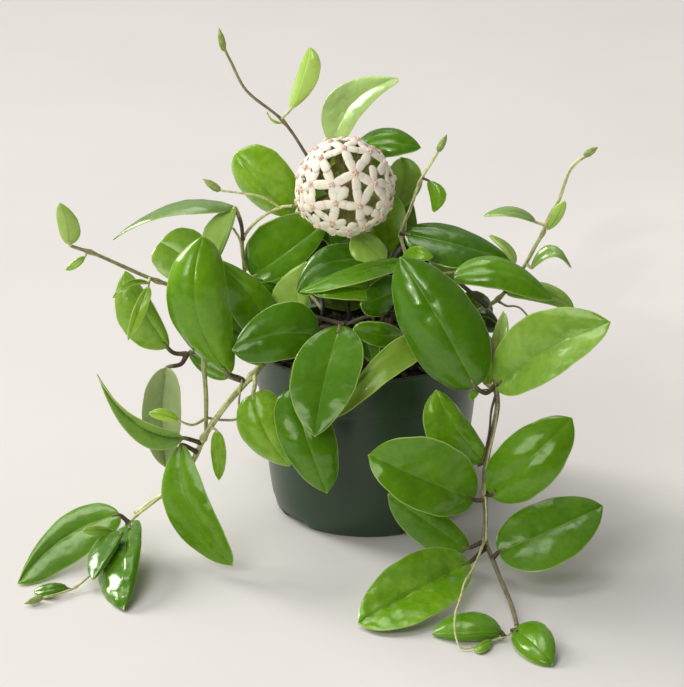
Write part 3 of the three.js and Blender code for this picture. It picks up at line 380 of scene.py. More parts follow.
TOP_LEFT = [
    vine(2.8, [at(-14, 20, 150), (338, 240, -30), (326, 190, -32), (307, 156, -26), (283, 121, -22),
         (246, 90, -18), (231, 62, -16), (224, 48, -16)], root=(-12, 16), age_and_shade=(2.4, 0.6)),
    knots((283, 121, -22)),
    # young leaf and sprout
    leaf((291, 109, -22), (303, 78, -16), (310, 47, -18), (296, 80, -34), (318.5, 78, -14), petiole=2,
         round=0.6, point=0.8, tone=YOUNG, bloom=0.25),
    leaf((281, 123, -22), (273, 121, -20), (267, 112, -18), (272, 119, -18), (273, 122, -21), petiole=1.6,
         tone=YOUNG),
    # round leaf behind the umbel
    leaf((292, 214, -24), (262, 186, -16), (236, 153, -24), (246, 196, -24), (284, 160, -26),
         green_stalk=True, start=(331, 206, -32), tone=0.8, point=0.45),
    # leaf behind the umbel's foot, painted dark as shade
    leaf((340, 262, -25), (331, 242, -17), (326, 216, -27), (313, 243, -24), (350, 236, -22), tone=DEEP),
    bud((224, 51, -16), (219, 28, -15), 4.8),
]

# Leaves behind the top of the umbel

TOP = [
    vine(3.4, [at(13, 18, 150), (386, 250, -34), (372, 196, -42), (350, 152, -40)], root=(10, 12),
         age_and_shade=(2, 1)),
    # pale leaf that stands up, then those round the umbel
    leaf((336, 150, -40), (350, 106, -50), (397, 78, -44), (331, 93, -62), (371, 104, -38), tone=0.8,
         round=0.6, point=0.5, bloom=0.45),
    leaf((352, 150, -36), (386, 142, -26), (421, 148, -26), (383, 128, -38), (382, 158, -22), point=0.8,
         tone=0.46),
    leaf((376, 222, -42), (400, 196, -26), (401, 157, -32), (378, 196, -38), (420, 190, -28), tone=0.5),
    leaf((388, 254, -36), (386, 222, -18), (376, 186, -22), (368, 226, -26), (406, 216, -24), tone=0.85),
    # dark leaves in the umbel's shade, their dark tones painted shade
    leaf((380, 236, -44), (356, 214, -40), (330, 190, -42), (342, 228, -42), (366, 196, -42), tone=0.2),
    leaf((384, 236, -46), (372, 190, -46), (362, 150, -46), (350, 196, -46), (391, 182, -44), tone=0.2),
    leaf((396, 290, -22), (408, 258, -28), (420, 230, -32), (390, 258, -30), (430, 262, -26), tone=DARK),
    leaf((324, 292, -12), (316, 262, -14), (314, 238, -16), (298, 266, -14), (334, 258, -14),
         start=(336, 232, -34), tone=DARK),
]

# The shoot right of the umbel, and the long leaf out to the right

CENTRE_RIGHT = [
    vine(3, [at(32, 6, 132), (414, 282, -4), (405, 252, -6), (401, 234, -6), (410, 210, -8),
         (420, 182, -10), (433, 160, -10), (439, 150, -10)], root=(30, 6), age_and_shade=(0.35, 0)),
    knots((401, 235, -6), (420, 182, -10)),
    # the long leaf, a small one at its tip, and one on the shoot
    leaf((405, 234, -4), (457, 245, 12), (512, 261, 14), (450, 225, -6), (443, 266, 26), round=0.6,
         point=0.8, tone=0.25, quilt=0.5),
    leaf((515, 263, 16), (506, 247, 18), (489, 235, 12), (512, 247, 14), (503, 251, 19),
         start=(508, 260, 14), petiole=1.6, tone=YOUNG, bloom=0.3),
    leaf((429, 181, -8), (437, 196, -4), (434, 212, -2), (430, 196, -8), (446, 193, -4), petiole=1.8,
         tone=0.75),
    bud((438, 151.5, -10), (447, 134, -10), 5),
]

# The shoot at the top right

RIGHT_TOP = [
    vine(3.4, [at(62, 0, 134), (476, 312, 14), (498, 299, 20), (516, 278, 20), (525, 265, 16),
         (537, 243, 10), (543, 233, 8), (547, 222, 8), (553, 210, 8), (559, 200, 8), (564, 185, 8),
         (570, 170, 8), (578, 161, 8), (586, 156, 8)], root=(52, 2), age_and_shade=(1, 0.02)),
    vine(1.8, [(498, 301, 20), (507, 306, 30), (514, 306, 36), (520, 308, 40), (526, 314, 44),
         (530, 319, 46)], age_and_shade=(1, 0.9)),
    knots((499, 299, 20), (543, 233, 8)),
    # small leaves of the shoot
    leaf((535, 222, 8), (510, 212, 12), (484, 216, 12), (515, 207, 0), (514, 217, 20), petiole=2,
         green_stalk=True, tone=FRESH, bloom=0.25),
    leaf((549, 229, 8), (558, 216, 12), (565, 201, 12), (550, 214, 8), (562, 218, 12), petiole=1.8,
         green_stalk=True, tone=YOUNG, bloom=0.25),
    leaf((532, 268, 18), (555, 250, 24), (571, 268, 26), (548, 245, 16), (552, 257, 30), petiole=2,
         green_stalk=True, tone=FRESH, bloom=0.25),
    # leaves at its foot
    leaf((455, 276, 34), (505, 272, 40), (553, 300, 42), (497, 257, 26), (492, 288, 46),
         start=(488, 305, 18), tone=0.55),
    # small leaf painted near black, as shade
    leaf((474, 322, 10), (487, 317, 12), (500, 328, 8), (485, 307, 2), (487, 332, 16), petiole=2,
         tone=DARK),
    leaf((506, 292, 22), (543, 293, 24), (574, 309, 24), (545, 283, 14), (538, 302, 32), tone=0.83,
         bloom=0.12),
    bud((584, 156, 8), (598, 147, 8), 5),
]

# Behind the plant, mostly out of the viewer's sight

BACK = [
    vine(3.8, [at(6, 56, 126), at(8, 74, 127), at(8, 90, 112), at(6, 96, 84), at(4, 98, 54)], root=(4, 44)),
    # a leaf painted near black: painted shade for the deep gap past the soil
    leaf(at(2, 64, 128), (343, 298, -62), (300, 290, -66), (340, 277, -62), (346, 311, -60), tone=-0.1),
    leaf(at(12, 64, 128), (390, 296, -54), (412, 276, -52), (376, 286, -58), (406, 306, -48)),
    leaf(at(0, 92, 110), at(-30, 108, 108), at(-60, 112, 88), at(-22, 98, 124), at(-30, 122, 86)),
    leaf(at(14, 92, 108), at(40, 108, 106), at(66, 110, 84), at(32, 98, 122), at(40, 120, 84)),
    leaf(at(0, 99, 82), at(-26, 112, 70), at(-50, 110, 44), at(-30, 104, 90), at(-8, 114, 58)),
    leaf(at(12, 99, 80), at(34, 112, 66), at(54, 108, 40), at(38, 104, 86), at(16, 114, 54)),
    leaf(at(0, 101, 50), at(-12, 112, 34), at(-22, 110, 12), at(-24, 106, 40), at(2, 114, 30)),
    leaf(at(8, 101, 50), at(18, 112, 34), at(30, 108, 12), at(28, 104, 42), at(6, 114, 30)),
]

BACK_LEFT = [
    vine(3.6, [at(-31, 40, 132), (310, 280, -52), (316, 246, -52), (326, 222, -52)], root=(-30, 32),
         age_and_shade=(2, 1.9)),
    vine(3, [at(-30, 37, 126), at(-38, 52, 130), at(-50, 68, 124), at(-58, 80, 104), at(-60, 86, 78)]),
    leaf((308, 262, -58), (282, 262, -76), (252, 284, -84), (286, 239, -64), (286, 291, -84)),
    leaf((304, 290, -60), (278, 318, -78), (256, 350, -84), (262, 306, -72), (300, 332, -80)),
    leaf((322, 234, -54), (334, 190, -66), (346, 148, -66), (300, 196, -62), (364, 200, -62)),
    leaf((322, 262, -58), (342, 262, -76), (362, 280, -88), (342, 244, -68), (342, 290, -84)),
    arched(at(-52, 66, 124), at(-86, 62, 122), 16, 5, -0.3),
    arched(at(-57, 84, 100), at(-72, 108, 62), 17, 8, 0.2),
    arched(at(-60, 88, 80), at(-48, 104, 40), 14, 6, -0.4),
    arched(at(-50, 72, 128), at(-32, 102, 138), 14, 5, 0.2),
]

BACK_RIGHT = [
    vine(3.6, [at(36, 42, 132), (424, 284, -52), (420, 258, -52), (412, 238, -52)], root=(34, 34),
         age_and_shade=(2, 1.5)),
    vine(3, [at(35, 39, 126), at(46, 52, 130), at(58, 64, 124), at(66, 74, 106)]),
    leaf((430, 268, -56), (458, 262, -70), (497, 274, -80), (456, 244, -62), (456, 284, -78)),
    leaf((424, 292, -62), (440, 322, -84), (455, 352, -92), (461, 312, -84), (418, 328, -84)),
    leaf((410, 240, -54), (397, 204, -64), (396, 164, -66), (372, 206, -60), (415, 212, -58)),
    leaf((412, 268, -56), (390, 262, -74), (362, 274, -84), (394, 244, -66), (388, 289, -82)),
    arched(at(60, 66, 122), at(86, 58, 116), 14, 4, 0.3),
    arched(at(66, 76, 104), at(70, 100, 66), 16, 8, -0.2),
    arched(at(50, 56, 130), at(34, 86, 128), 15, 7, -0.2),
]

STEMS = {
    "trailing_stem_left": (TRAILING_LEFT, "leaf_bright"),
    "trailing_stem_right": (TRAILING_RIGHT, "leaf_bright"),
    "stem_front": (FRONT, "leaf_bright"),
    "stem_middle": (MIDDLE, "leaf_mid"),
    "flower_stem": (FLOWER_STEM, "leaf_mid"),
    "stem_left": (LEFT, "leaf_mid"),
    "stem_top_left": (TOP_LEFT, "leaf_mid"),
    "stem_top": (TOP, "leaf_dark"),
    "stem_centre_right": (CENTRE_RIGHT, "leaf_mid"),
    "stem_right_top": (RIGHT_TOP, "leaf_bright"),
    "stem_back": (BACK, "leaf_dark"),
    "stem_back_left": (BACK_LEFT, "leaf_dark"),
    "stem_back_right": (BACK_RIGHT, "leaf_dark"),
}

# Meshes


def add_object(name, data):
    made = bpy.data.objects.new(name, data)
    bpy.context.scene.collection.objects.link(made)
    return made


def shade(mesh, smooth=True):
    mesh.polygons.foreach_set("use_smooth", np.full(len(mesh.polygons), smooth))


class Shape:
    """Points, faces and values per point, gathered and then made one piece."""

    def __init__(self):
        self.points = []
        self.faces = []
        self.values = {}
        self.count = 0

    def add(self, points, faces, **values):
        points = np.asarray(points, float).reshape(-1, 3)
        for group in faces:
            self.faces.extend((np.asarray(group, int) + self.count).tolist())
        for name, value in values.items():
            value = np.asarray(value, float)
            self.values.setdefault(name, []).append(value if value.ndim else np.full(len(points), value))
        self.points.append(points)
        self.count += len(points)

    def build(self, name, material, slot, replaced, smooth=True):
        mesh = bpy.data.meshes.new(name)
        mesh.from_pydata((np.concatenate(self.points) * MM).tolist(), [], self.faces)
        for key, parts in self.values.items():
            data = np.concatenate(parts).astype(np.float32)
            if data.ndim == 2:
                data = np.concatenate([data, np.ones((len(data), 1), np.float32)], 1)
                mesh.attributes.new(key, "FLOAT_COLOR", "POINT").data.foreach_set("color", data.ravel())
            else:
                mesh.attributes.new(key, "FLOAT", "POINT").data.foreach_set("value", data.ravel())
        shade(mesh, smooth)
        mesh.materials.append(material)
        mesh.update()
        piece = add_object(name, mesh)
        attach(piece, "root")
        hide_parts(replaced)


def quads(rows, columns, wrap=False):
    """The faces of a grid of points, row after row. Its last column may join the first."""
    spans = columns if wrap else columns - 1
    row, column = np.meshgrid(np.arange(rows - 1), np.arange(spans), indexing="ij")
    after = (column + 1) % columns
    corners = [row * columns + column, (row + 1) * columns + column,
               (row + 1) * columns + after, row * columns + after]
    return np.stack(corners, -1).reshape(-1, 4)


def angles_round(count):
    return np.linspace(0, 2 * math.pi, count, endpoint=False)


def about_axis(radius, angle, height):
    """Places about the Z axis."""
    return np.stack([radius * np.cos(angle), radius * np.sin(angle), height], -1)


def reach_along(line):
    """How far along the line each of its places lies."""
    return np.concatenate([[0], np.cumsum(np.linalg.norm(np.diff(line, axis=0), axis=1))])


CURVE_PIECES = 16


def smooth_line(points, step):
    """Places about a step apart on the centripetal curve through the points."""
    points = [place(point) for point in points]
    points = [2 * points[0] - points[1], *points, 2 * points[-1] - points[-2]]
    fine = []
    for a, b, c, d in zip(points, points[1:], points[2:], points[3:]):
        before, here, beyond = (math.sqrt(np.linalg.norm(q - p)) for p, q in ((a, b), (b, c), (c, d)))
        leave = ((b - a) / before - (c - a) / (before + here) + (c - b) / here) * here
        arrive = ((c - b) / here - (d - b) / (here + beyond) + (d - c) / beyond) * here
        for t in np.linspace(0, 1, CURVE_PIECES, endpoint=False):
            bend = (3 * (c - b) - 2 * leave - arrive) * t ** 2
            fine.append(b + leave * t + bend + (2 * (b - c) + leave + arrive) * t ** 3)
    fine = np.array([*fine, points[-2]])
    reach = reach_along(fine)
    wanted = np.linspace(0, reach[-1], max(2, round(reach[-1] / step)) + 1)
    return np.stack([np.interp(wanted, reach, fine[:, axis]) for axis in range(3)], 1)


# A direction that no stem starts along

ASKEW = at(0.31, 0.27, 0.91)


def frames_along(line):
    """Two directions across the line at each place, which turn with it and don't twist."""
    ahead = unit(np.gradient(line, axis=0))
    sides = [unit(np.cross(ahead[0], ASKEW))]
    for here in ahead[1:]:
        last = sides[-1]
        sides.append(unit(last - here * np.dot(last, here)))
    sides = np.array(sides)
    return sides, np.cross(ahead, sides)


def tube(line, radii, sides):
    """The points and faces of a closed tube, with a radius for each place of its line."""
    side, above = frames_along(line)
    turn = angles_round(sides)
    ring = side[:, None] * np.cos(turn)[:, None] + above[:, None] * np.sin(turn)[:, None]
    skin = line[:, None] + ring * np.asarray(radii)[:, None, None]
    around = np.arange(sides)
    beside = (around + 1) % sides
    count = len(line) * sides
    last = count - sides
    caps = [np.stack([around, beside, np.full(sides, count)], 1),
            np.stack([last + beside, last + around, np.full(sides, count + 1)], 1)]
    points = np.concatenate([skin.reshape(-1, 3), line[:1], line[-1:]])
    return points, [quads(len(line), sides, wrap=True)[:, ::-1], *caps]


def round_tube(values, sides):
    """A value for each point of a tube, from one for each place of its line."""
    values = np.asarray(values, float)
    return np.concatenate([np.repeat(values, sides, 0), values[:1], values[-1:]])


def bark_tube(shape, line, radii, tints, sides=STEM["sides"]):
    shape.add(
        *tube(line, radii, sides), tint=round_tube(tints, sides),
        reach=round_tube(reach_along(line), sides),
        turn=np.concatenate([np.tile(np.sin(angles_round(sides) * 2), len(line)), [0, 0]]),
    )


# Leaves. The rib is the parabola through a leaf's base, middle and tip, and
# both edges follow one outline, widest a little nearer the base.

HALF_COLUMNS = np.array([0, 0.03, 0.08, 0.17, 0.3, 0.45, 0.6, 0.74, 0.85, 0.92, 0.965, 1])
COLUMNS = np.concatenate([-HALF_COLUMNS[:0:-1], HALF_COLUMNS])
SMALL_COLUMNS = COLUMNS[[0, 2, 4, 6, 8, 10, 11, 12, 14, 16, 18, 20, 22]]

# A leaf at the front faces the viewer, and one behind faces away from the plant's heart

HEART = at(0, 0, 90)
FACING = dict(front_ends=25, outward=0.8, skyward=0.25)


def fullness(plan, s):
    """The half width at a share s of the leaf's length, as a share of the widest."""
    def outline(along):
        return along ** plan["round"] * (1 - along) ** plan["point"]
    return outline(s) / outline(widest_of(plan)) * (1 - np.exp((s - 1) / LEAF["tip"]))


def rib_at(plan, s):
    s = np.asarray(s, float)[..., None]
    return (plan["base"] * (1 - s) * (1 - 2 * s) + plan["middle"] * 4 * s * (1 - s)
            + plan["tip"] * s * (2 * s - 1))


def normals_of(grid, columns):
    return unit(np.cross(np.gradient(grid, axis=0), np.gradient(grid, columns, axis=1)))


def upper_side(plan, normal):
    """1 where the leaf's normals leave its upper side, and -1 where they leave its lower one."""
    centre = plan["middle"]
    if centre[1] < FACING["front_ends"]:
        outward = unit(EYE - centre) + at(0, 0, FACING["skyward"])
    else:
        outward = unit(centre - HEART) * FACING["outward"] + at(0, 0, 1)
    sign = 1 if np.dot(normal.mean((0, 1)), outward) > 0 else -1
    return -sign if plan["under"] else sign


def quilting(across, along, draw):
    """Soft swellings of the surface, as a sum of waves in places of millimetres."""
    swell = 0
    for wave in LEAF["waves"]:
        heading = draw.uniform(0, math.pi)
        phase = draw.uniform(0, 2 * math.pi)
        step = (across * math.cos(heading) + along * math.sin(heading)) * 2 * math.pi / wave
        swell = swell + np.sin(step + phase) * wave / LEAF["waves"][0]
    return swell / LEAF["swell_span"]


def blade_faces(rows, columns):
    """Two sheets, a rim point beside each row on either side, and a point at each end."""
    size = rows * columns
    row = np.arange(rows)
    face = quads(rows, columns)
    faces = [face, face[:, ::-1] + size]
    rims = []
    for column, first in ((0, 2 * size), (columns - 1, 2 * size + rows)):
        strip = np.stack([row * columns + column, first + row, size + row * columns + column], 1)
        side = np.concatenate([
            np.stack([strip[:-1, k], strip[:-1, k + 1], strip[1:, k + 1], strip[1:, k]], 1) for k in (0, 1)
        ])
        faces.append(side[:, ::-1] if column else side)
        rims.append(first + row)
    for end, pole in ((0, 2 * size + 2 * rows), (rows - 1, 2 * size + 2 * rows + 1)):
        top = end * columns + np.arange(columns)
        ring = [*top, rims[1][end], *(top[::-1] + size), rims[0][end]]
        fan = np.array([[a, b, pole] for a, b in zip(ring, [*ring[1:], ring[0]])])
        faces.append(fan[:, ::-1] if end else fan)
    return faces


def blade(shape, plan, draw):
    length = np.linalg.norm(plan["middle"] - plan["base"]) + np.linalg.norm(plan["tip"] - plan["middle"])
    is_small = length <= LEAF["small"]
    columns = SMALL_COLUMNS if is_small else COLUMNS
    rows = max(LEAF["fewest_rows"], round(length * LEAF["rows_per_mm"]))
    s = (1 - np.cos(np.linspace(LEAF["first_row"], math.pi - LEAF["last_row"], rows))) / 2
    edges = [edge - rib_at(plan, widest_of(plan)) for edge in plan["edges"]]
    half = (np.linalg.norm(edges[0]) + np.linalg.norm(edges[1])) / 2
    wander = 1
    for size, pace in LEAF["wander"]:
        wander = wander + size * np.sin(s * pace + draw.uniform(*PHASE))
    full = fullness(plan, s)
    wide = full * wander
    breadth = (wide * half)[:, None]

    # the flat or folded blade, as a grid of rows across it
    inward = np.abs(columns)
    spread = np.where(columns[:, None] < 0, edges[0], edges[1]) * inward[:, None]
    rise = unit(np.cross(plan["tip"] - plan["base"], unit(edges[1] - edges[0])))
    sunk = np.where(columns < 0, np.dot(edges[0], rise), np.dot(edges[1], rise))
    spread = spread - rise * (sunk * (inward - inward ** plan["fold"]))[:, None]
    grid = rib_at(plan, s)[:, None] + wide[:, None, None] * spread[None]
    normal = normals_of(grid, columns)
    sign = upper_side(plan, normal)

    # its bulge, the crease along the rib, and the quilting
    inward = inward[None]
    lift = LEAF["bulge"] * half * np.sin(math.pi * inward) * full[:, None] ** LEAF["bulge_ends"]
    crease = np.exp(-(inward * breadth / LEAF["crease_width"]) ** 2)
    lift = lift - LEAF["crease"] * crease * np.minimum(1, breadth / LEAF["crease_ends"])
    swell = quilting(columns[None] * breadth, (s * length)[:, None], draw)
    quilt = LEAF["quilt"] * plan["quilt"]
    lift = lift + quilt * swell * (1 - inward ** 3) * np.minimum(1, breadth / LEAF["quilt_ends"])
    if is_small:
        lift = lift * LEAF["small_relief"]
    grid = grid + normal * (lift * sign)[..., None]

    # the two sheets and the rim between them
    normal = normals_of(grid, columns)
    thick = LEAF["thickness"] / 2 * (1 - LEAF["thin_edge"] * inward ** 6) * np.ones_like(breadth)
    shift = normal * thick[..., None]
    rims = [grid[:, column] + unit(edge) * LEAF["rim"] for column, edge in zip((0, -1), edges)]
    poles = np.array([rib_at(plan, 0), rib_at(plan, 1)])
    points = np.concatenate([(grid + shift).reshape(-1, 3), (grid - shift).reshape(-1, 3), *rims, poles])

    def of_each(plus, minus, rim, pole):
        rim = np.broadcast_to(rim, (rows,))
        return np.concatenate([np.ravel(plus), np.ravel(minus), rim, rim, pole])

    ones = np.ones((rows, len(columns)))
    from_tip = ((1 - s) * length * LEAF["tip_slope"])[:, None] + LEAF["tip_inset"]
    inset = np.minimum((1 - inward) * breadth, from_tip)
    offset = np.broadcast_to(columns[None] * breadth, ones.shape)
    vein = ((s * length)[:, None] - np.abs(offset) * LEAF["vein_slant"]) / LEAF["vein_gap"]
    along = s[:, None] * ones
    up = float(sign > 0)
    shape.add(
        points, blade_faces(rows, len(columns)),
        inset=of_each(inset, inset, 0, [0, 0]),
        offset=of_each(offset, offset, LEAF["off_rib"], [0, 0]),
        vein=of_each(vein, vein, 0, [0, 0]),
        along=of_each(along, along, s, [0, 1]),
        upper=of_each(ones * up, ones * (1 - up), 0.5, [0.5, 0.5]),
        tone=plan["tone"] + draw.uniform(*LEAF["tone_range"]), bloom=plan["bloom"],
    )


# Stems, petioles and buds. A vine's colour goes by age: 0 is young and green,
# 1 old and brown. Beyond 1 it is painted shade, down to near black at 2, for vines deep in the plant.

BARK = {
    0: np.array([0.76, 0.79, 0.36]), 0.5: np.array([0.4, 0.41, 0.16]),
    1: np.array([0.22, 0.185, 0.11]), 2: np.array([0.016, 0.011, 0.007]),
}
BROWN_STALK = np.array([0.085, 0.058, 0.028])
GREEN_STALK = BARK[0] * 0.8
KNOT_TINT = np.array([0.33, 0.33, 0.13])
BUD_TINT = np.array([0.34, 0.45, 0.11])


def bark(ages_and_shade):
    return np.stack([np.interp(ages_and_shade, list(BARK), channel) for channel in zip(*BARK.values())], 1)


def nearest_on(lines, spot):
    line = min(lines, key=lambda line: np.linalg.norm(line - spot, axis=1).min())
    return line[np.linalg.norm(line - spot, axis=1).argmin()]


def stem(shape, plan, line, knots, draw):
    """A tapering, rippled vine, thicker and greener at its knots."""
    share = np.zeros(len(line))
    for knot in knots:
        away = np.linalg.norm(line - place(knot), axis=1)
        share = np.maximum(share, np.exp(-(away / STEM["knot_width"]) ** 2))
    ripple = np.sin(np.arange(len(line)) * STEM["ripple_pace"] + draw.uniform(*PHASE)) * STEM["ripple"]
    along = np.linspace(0, 1, len(line))
    radii = plan["thickness"] / 2 * (STEM["thickest"] - STEM["taper"] * along + ripple)
    radii = radii + (radii * STEM["knot_swell"] - radii) * share
    first, last = plan["age_and_shade"]
    tints = bark(first + (last - first) * along)
    tints = tints + (KNOT_TINT - tints) * (share * STEM["knot_tint"])[:, None]
    bark_tube(shape, line, radii, tints)


def petiole(shape, plan, lines):
    """A leaf's stalk, from the nearest vine to a little way into the blade."""
    start = nearest_on(lines, plan["base"] if plan["start"] is None else place(plan["start"]))
    path = [start, *plan["by"], plan["base"], rib_at(plan, PETIOLE["sunk"])]
    line = smooth_line(path, PETIOLE["step"])
    t = np.linspace(0, 1, len(line))
    flare = PETIOLE["flare"] * np.exp(-(t / PETIOLE["flare_reach"]) ** 2)
    radii = plan["petiole"] / 2 * (1 + flare - PETIOLE["taper"] * t ** 3)
    end = KNOT_TINT if plan["tone"] < BRIGHT else BARK[0]
    colour = GREEN_STALK if plan["green_stalk"] or plan["tone"] == YOUNG else BROWN_STALK
    green = np.clip(t - PETIOLE["greens_from"], 0, 1) * PETIOLE["greening"]
    tints = colour + (end - colour) * green[:, None]
    bark_tube(shape, line, radii, tints, PETIOLE["sides"])


def bud_body(shape, plan):
    """A pointed bud of two leaves still closed on one another."""
    t = np.linspace(0, 1, BUD["rows"])
    line = plan["base"] + (plan["tip"] - plan["base"]) * t[:, None]
    full = np.interp(t, *zip(*BUD["outline"]))
    tints = BUD_TINT * (BUD["dim"] + BUD["paling"] * t[:, None])
    bark_tube(shape, line, plan["thickness"] / 2 * full, tints)


def leafy_stem(name, plan, slot, leaf_material, stem_material):
    def of_kind(kind):
        return [part for part in plan if part["kind"] == kind]

    draw = random.Random(name)
    lines = []
    for part in of_kind("vine"):
        rise = [at(*part["root"], POT["height"] + height) for height in STEM["root"]] if part["root"] else []
        lines.append(smooth_line([*rise, *part["path"]], STEM["step"]))
    stems, leaves = Shape(), Shape()
    places = [spot for part in of_kind("knots") for spot in part["places"]]
    for part, line in zip(of_kind("vine"), lines):
        stem(stems, part, line, places, draw)
    for part in of_kind("leaf"):
        blade(leaves, part, draw)
        petiole(stems, part, lines)
    for part in of_kind("bud"):
        bud_body(stems, part)
    stems.build(name + "_vines", stem_material, slot, name)
    leaves.build(name + "_leaves", leaf_material, slot, name)


# Materials. A noise has a scale and a detail, and a relief a height and a strength.

NOISES = dict(
    patches=(45, 3), flecks=(260, 2), sheen=(70, 2), dents=(80, 1), wrinkles=(200, 1), pores=(1100, 2),
    streaks=(3.2, 4), bark=(420, 3), plastic=(16, 4), moulding=(700, 2), mix=(320, 5), petal=(500, 3),
    floor=(3, 4),
)
NOISE_SPAN = (0.3, 0.7)
NOISE_ROUGHNESS = 0.55
RELIEFS = dict(
    dents=(0.0026, 0.5), pores=(0.00008, 0.3), bark=(0.0004, 0.5), plastic=(0.001, 0.3),
    moulding=(0.00008, 0.4), mix=(0.0012, 0.8), petal=(0.0002, 0.5),
)
ROUGHNESS = dict(
    leaf=(0.18, 0.32), bark=(0.4, 0.62), plastic=(0.3, 0.42), mix=(0.7, 0.95), petal=(0.42, 0.6),
)


class Look:
    """A material of nodes, with short calls to add and join them."""

    def __init__(self, name, **shader):
        self.material = bpy.data.materials.new(name)
        self.material.use_nodes = True
        self.tree = self.material.node_tree
        self.shader = self.tree.nodes["Principled BSDF"]
        self.finish(**shader)

    def join(self, value, socket):
        if isinstance(value, bpy.types.NodeSocket):
            self.tree.links.new(value, socket)
        else:
            socket.default_value = value

    def node(self, kind, settings=None, **inputs):
        made = self.tree.nodes.new("ShaderNode" + kind)
        for key, value in (settings or {}).items():
            setattr(made, key, value)
        for key, value in inputs.items():
            self.join(value, made.inputs[key.replace("_", " ")])
        return made

    def read(self, name, output="Fac"):
        return self.node("Attribute", dict(attribute_name=name)).outputs[output]

    def noise(self, name, vector=None):
        scale, detail = NOISES[name]
        vector = vector or self.node("TexCoord").outputs["Object"]
        made = self.node("TexNoise", Scale=scale, Detail=detail, Roughness=NOISE_ROUGHNESS, Vector=vector)
        return made.outputs["Fac"]

    def maths(self, operation, a, b=0.0):
        made = self.node("Math", dict(operation=operation))
        self.join(a, made.inputs[0])
        self.join(b, made.inputs[1])
        return made.outputs[0]

    def plus(self, a, b):
        return self.maths("ADD", a, b)

    def times(self, a, b):
        return self.maths("MULTIPLY", a, b)

    def ranged(self, value, low, high, to_low=0.0, to_high=1.0):
        made = self.node("MapRange", dict(interpolation_type="SMOOTHSTEP"), Value=value, From_Min=low,
                         From_Max=high, To_Min=to_low, To_Max=to_high)
        return made.outputs["Result"]

    def spread(self, noise, low, high):
        """The usual range of a noise, mapped to another one."""
        return self.ranged(noise, *NOISE_SPAN, low, high)

    def ramp(self, value, stops):
        made = self.node("ValToRGB", Fac=value)
        elements = made.color_ramp.elements
        while len(elements) < len(stops):
            elements.new(0.5)
        for element, (position, colour) in zip(elements, stops):
            element.position = position
            element.color = (*colour, 1)
        return made.outputs["Color"]

    def blend(self, share, a, b):
        made = self.node("Mix", dict(data_type="RGBA"))
        self.join(share, made.inputs[0])
        self.join(a, made.inputs[6])
        self.join((*b, 1), made.inputs[7])
        return made.outputs[2]

    def bump(self, height, name, under=None):
        distance, strength = RELIEFS[name]
        below = dict(Normal=under) if under else {}
        made = self.node("Bump", Height=height, Distance=distance, Strength=strength, **below)
        return made.outputs["Normal"]

    def finish(self, **sockets):
        for key, value in sockets.items():
            self.join(value, self.shader.inputs[key.replace("_", " ")])
        return self.material


# The two darkest stops are near black: painted deep shade for leaves inside the plant.
LEAF_TONES = [
    (0.0, (0.008, 0.02, 0.002)), (0.1, (0.03, 0.1, 0.001)), (0.25, (0.042, 0.145, 0.001)),
    (0.5, (0.082, 0.24, 0.002)), (0.75, (0.17, 0.4, 0.006)), (1.0, (0.44, 0.72, 0.06)),
]
# Of these tints, the pale grey-green third one is painted sheen, for a leaf's broad highlights.
LEAF_TINTS = dict(
    margin=(0.5, 0.68, 0.16), underside=(0.24, 0.38, 0.045), bloom=(0.5, 0.58, 0.33),
    rib=(0.2, 0.36, 0.03),
)
TINT_SHARES = dict(margin=0.75, underside=0.6, vein=0.035)
UNDERSIDE_ROUGHER = 0.22
WRINKLE_SHARE = 0.2
TONE_RANGES = dict(patches=(-0.05, 0.05), flecks=(-0.03, 0.03))

# Where each band of a leaf begins and ends, in its own measure, and what it is there

LEAF_BANDS = dict(
    rib=(0.25, 0.85, 1, 0), rib_fades=(0.1, 0.95, 0.65, 0.25), vein=(-0.2, 1), below=(0.9, 0.1),
    margin=(0.15, 0.75, 1, 0),
)
BARK_MIX = [(0.2, (0.008, 0.005, 0.003)), (0.5, (0.028, 0.017, 0.009)), (0.85, (0.09, 0.055, 0.03))]
PLASTIC = [(0.3, (0.023, 0.05, 0.022)), (0.7, (0.034, 0.07, 0.032))]
STREAKS = dict(stretch=0.025, specks=0.5, span=(0.5, 1.0, 0.5, 1.5))
MIX_SHARES = dict(tint=0.6, grain=0.5)
# The last stops colour the pedicels and stalk, and the painted shade under the petals.
FLOWER = [
    (0.0, (0.99, 0.9, 0.74)), (0.22, (0.97, 0.84, 0.7)), (0.42, (0.86, 0.52, 0.42)),
    (0.62, (0.66, 0.32, 0.12)), (0.85, (0.6, 0.58, 0.2)), (1.0, (0.24, 0.28, 0.07)),
]
PALE = [(0.3, (0.8, 0.765, 0.735)), (0.7, (0.83, 0.8, 0.77))]


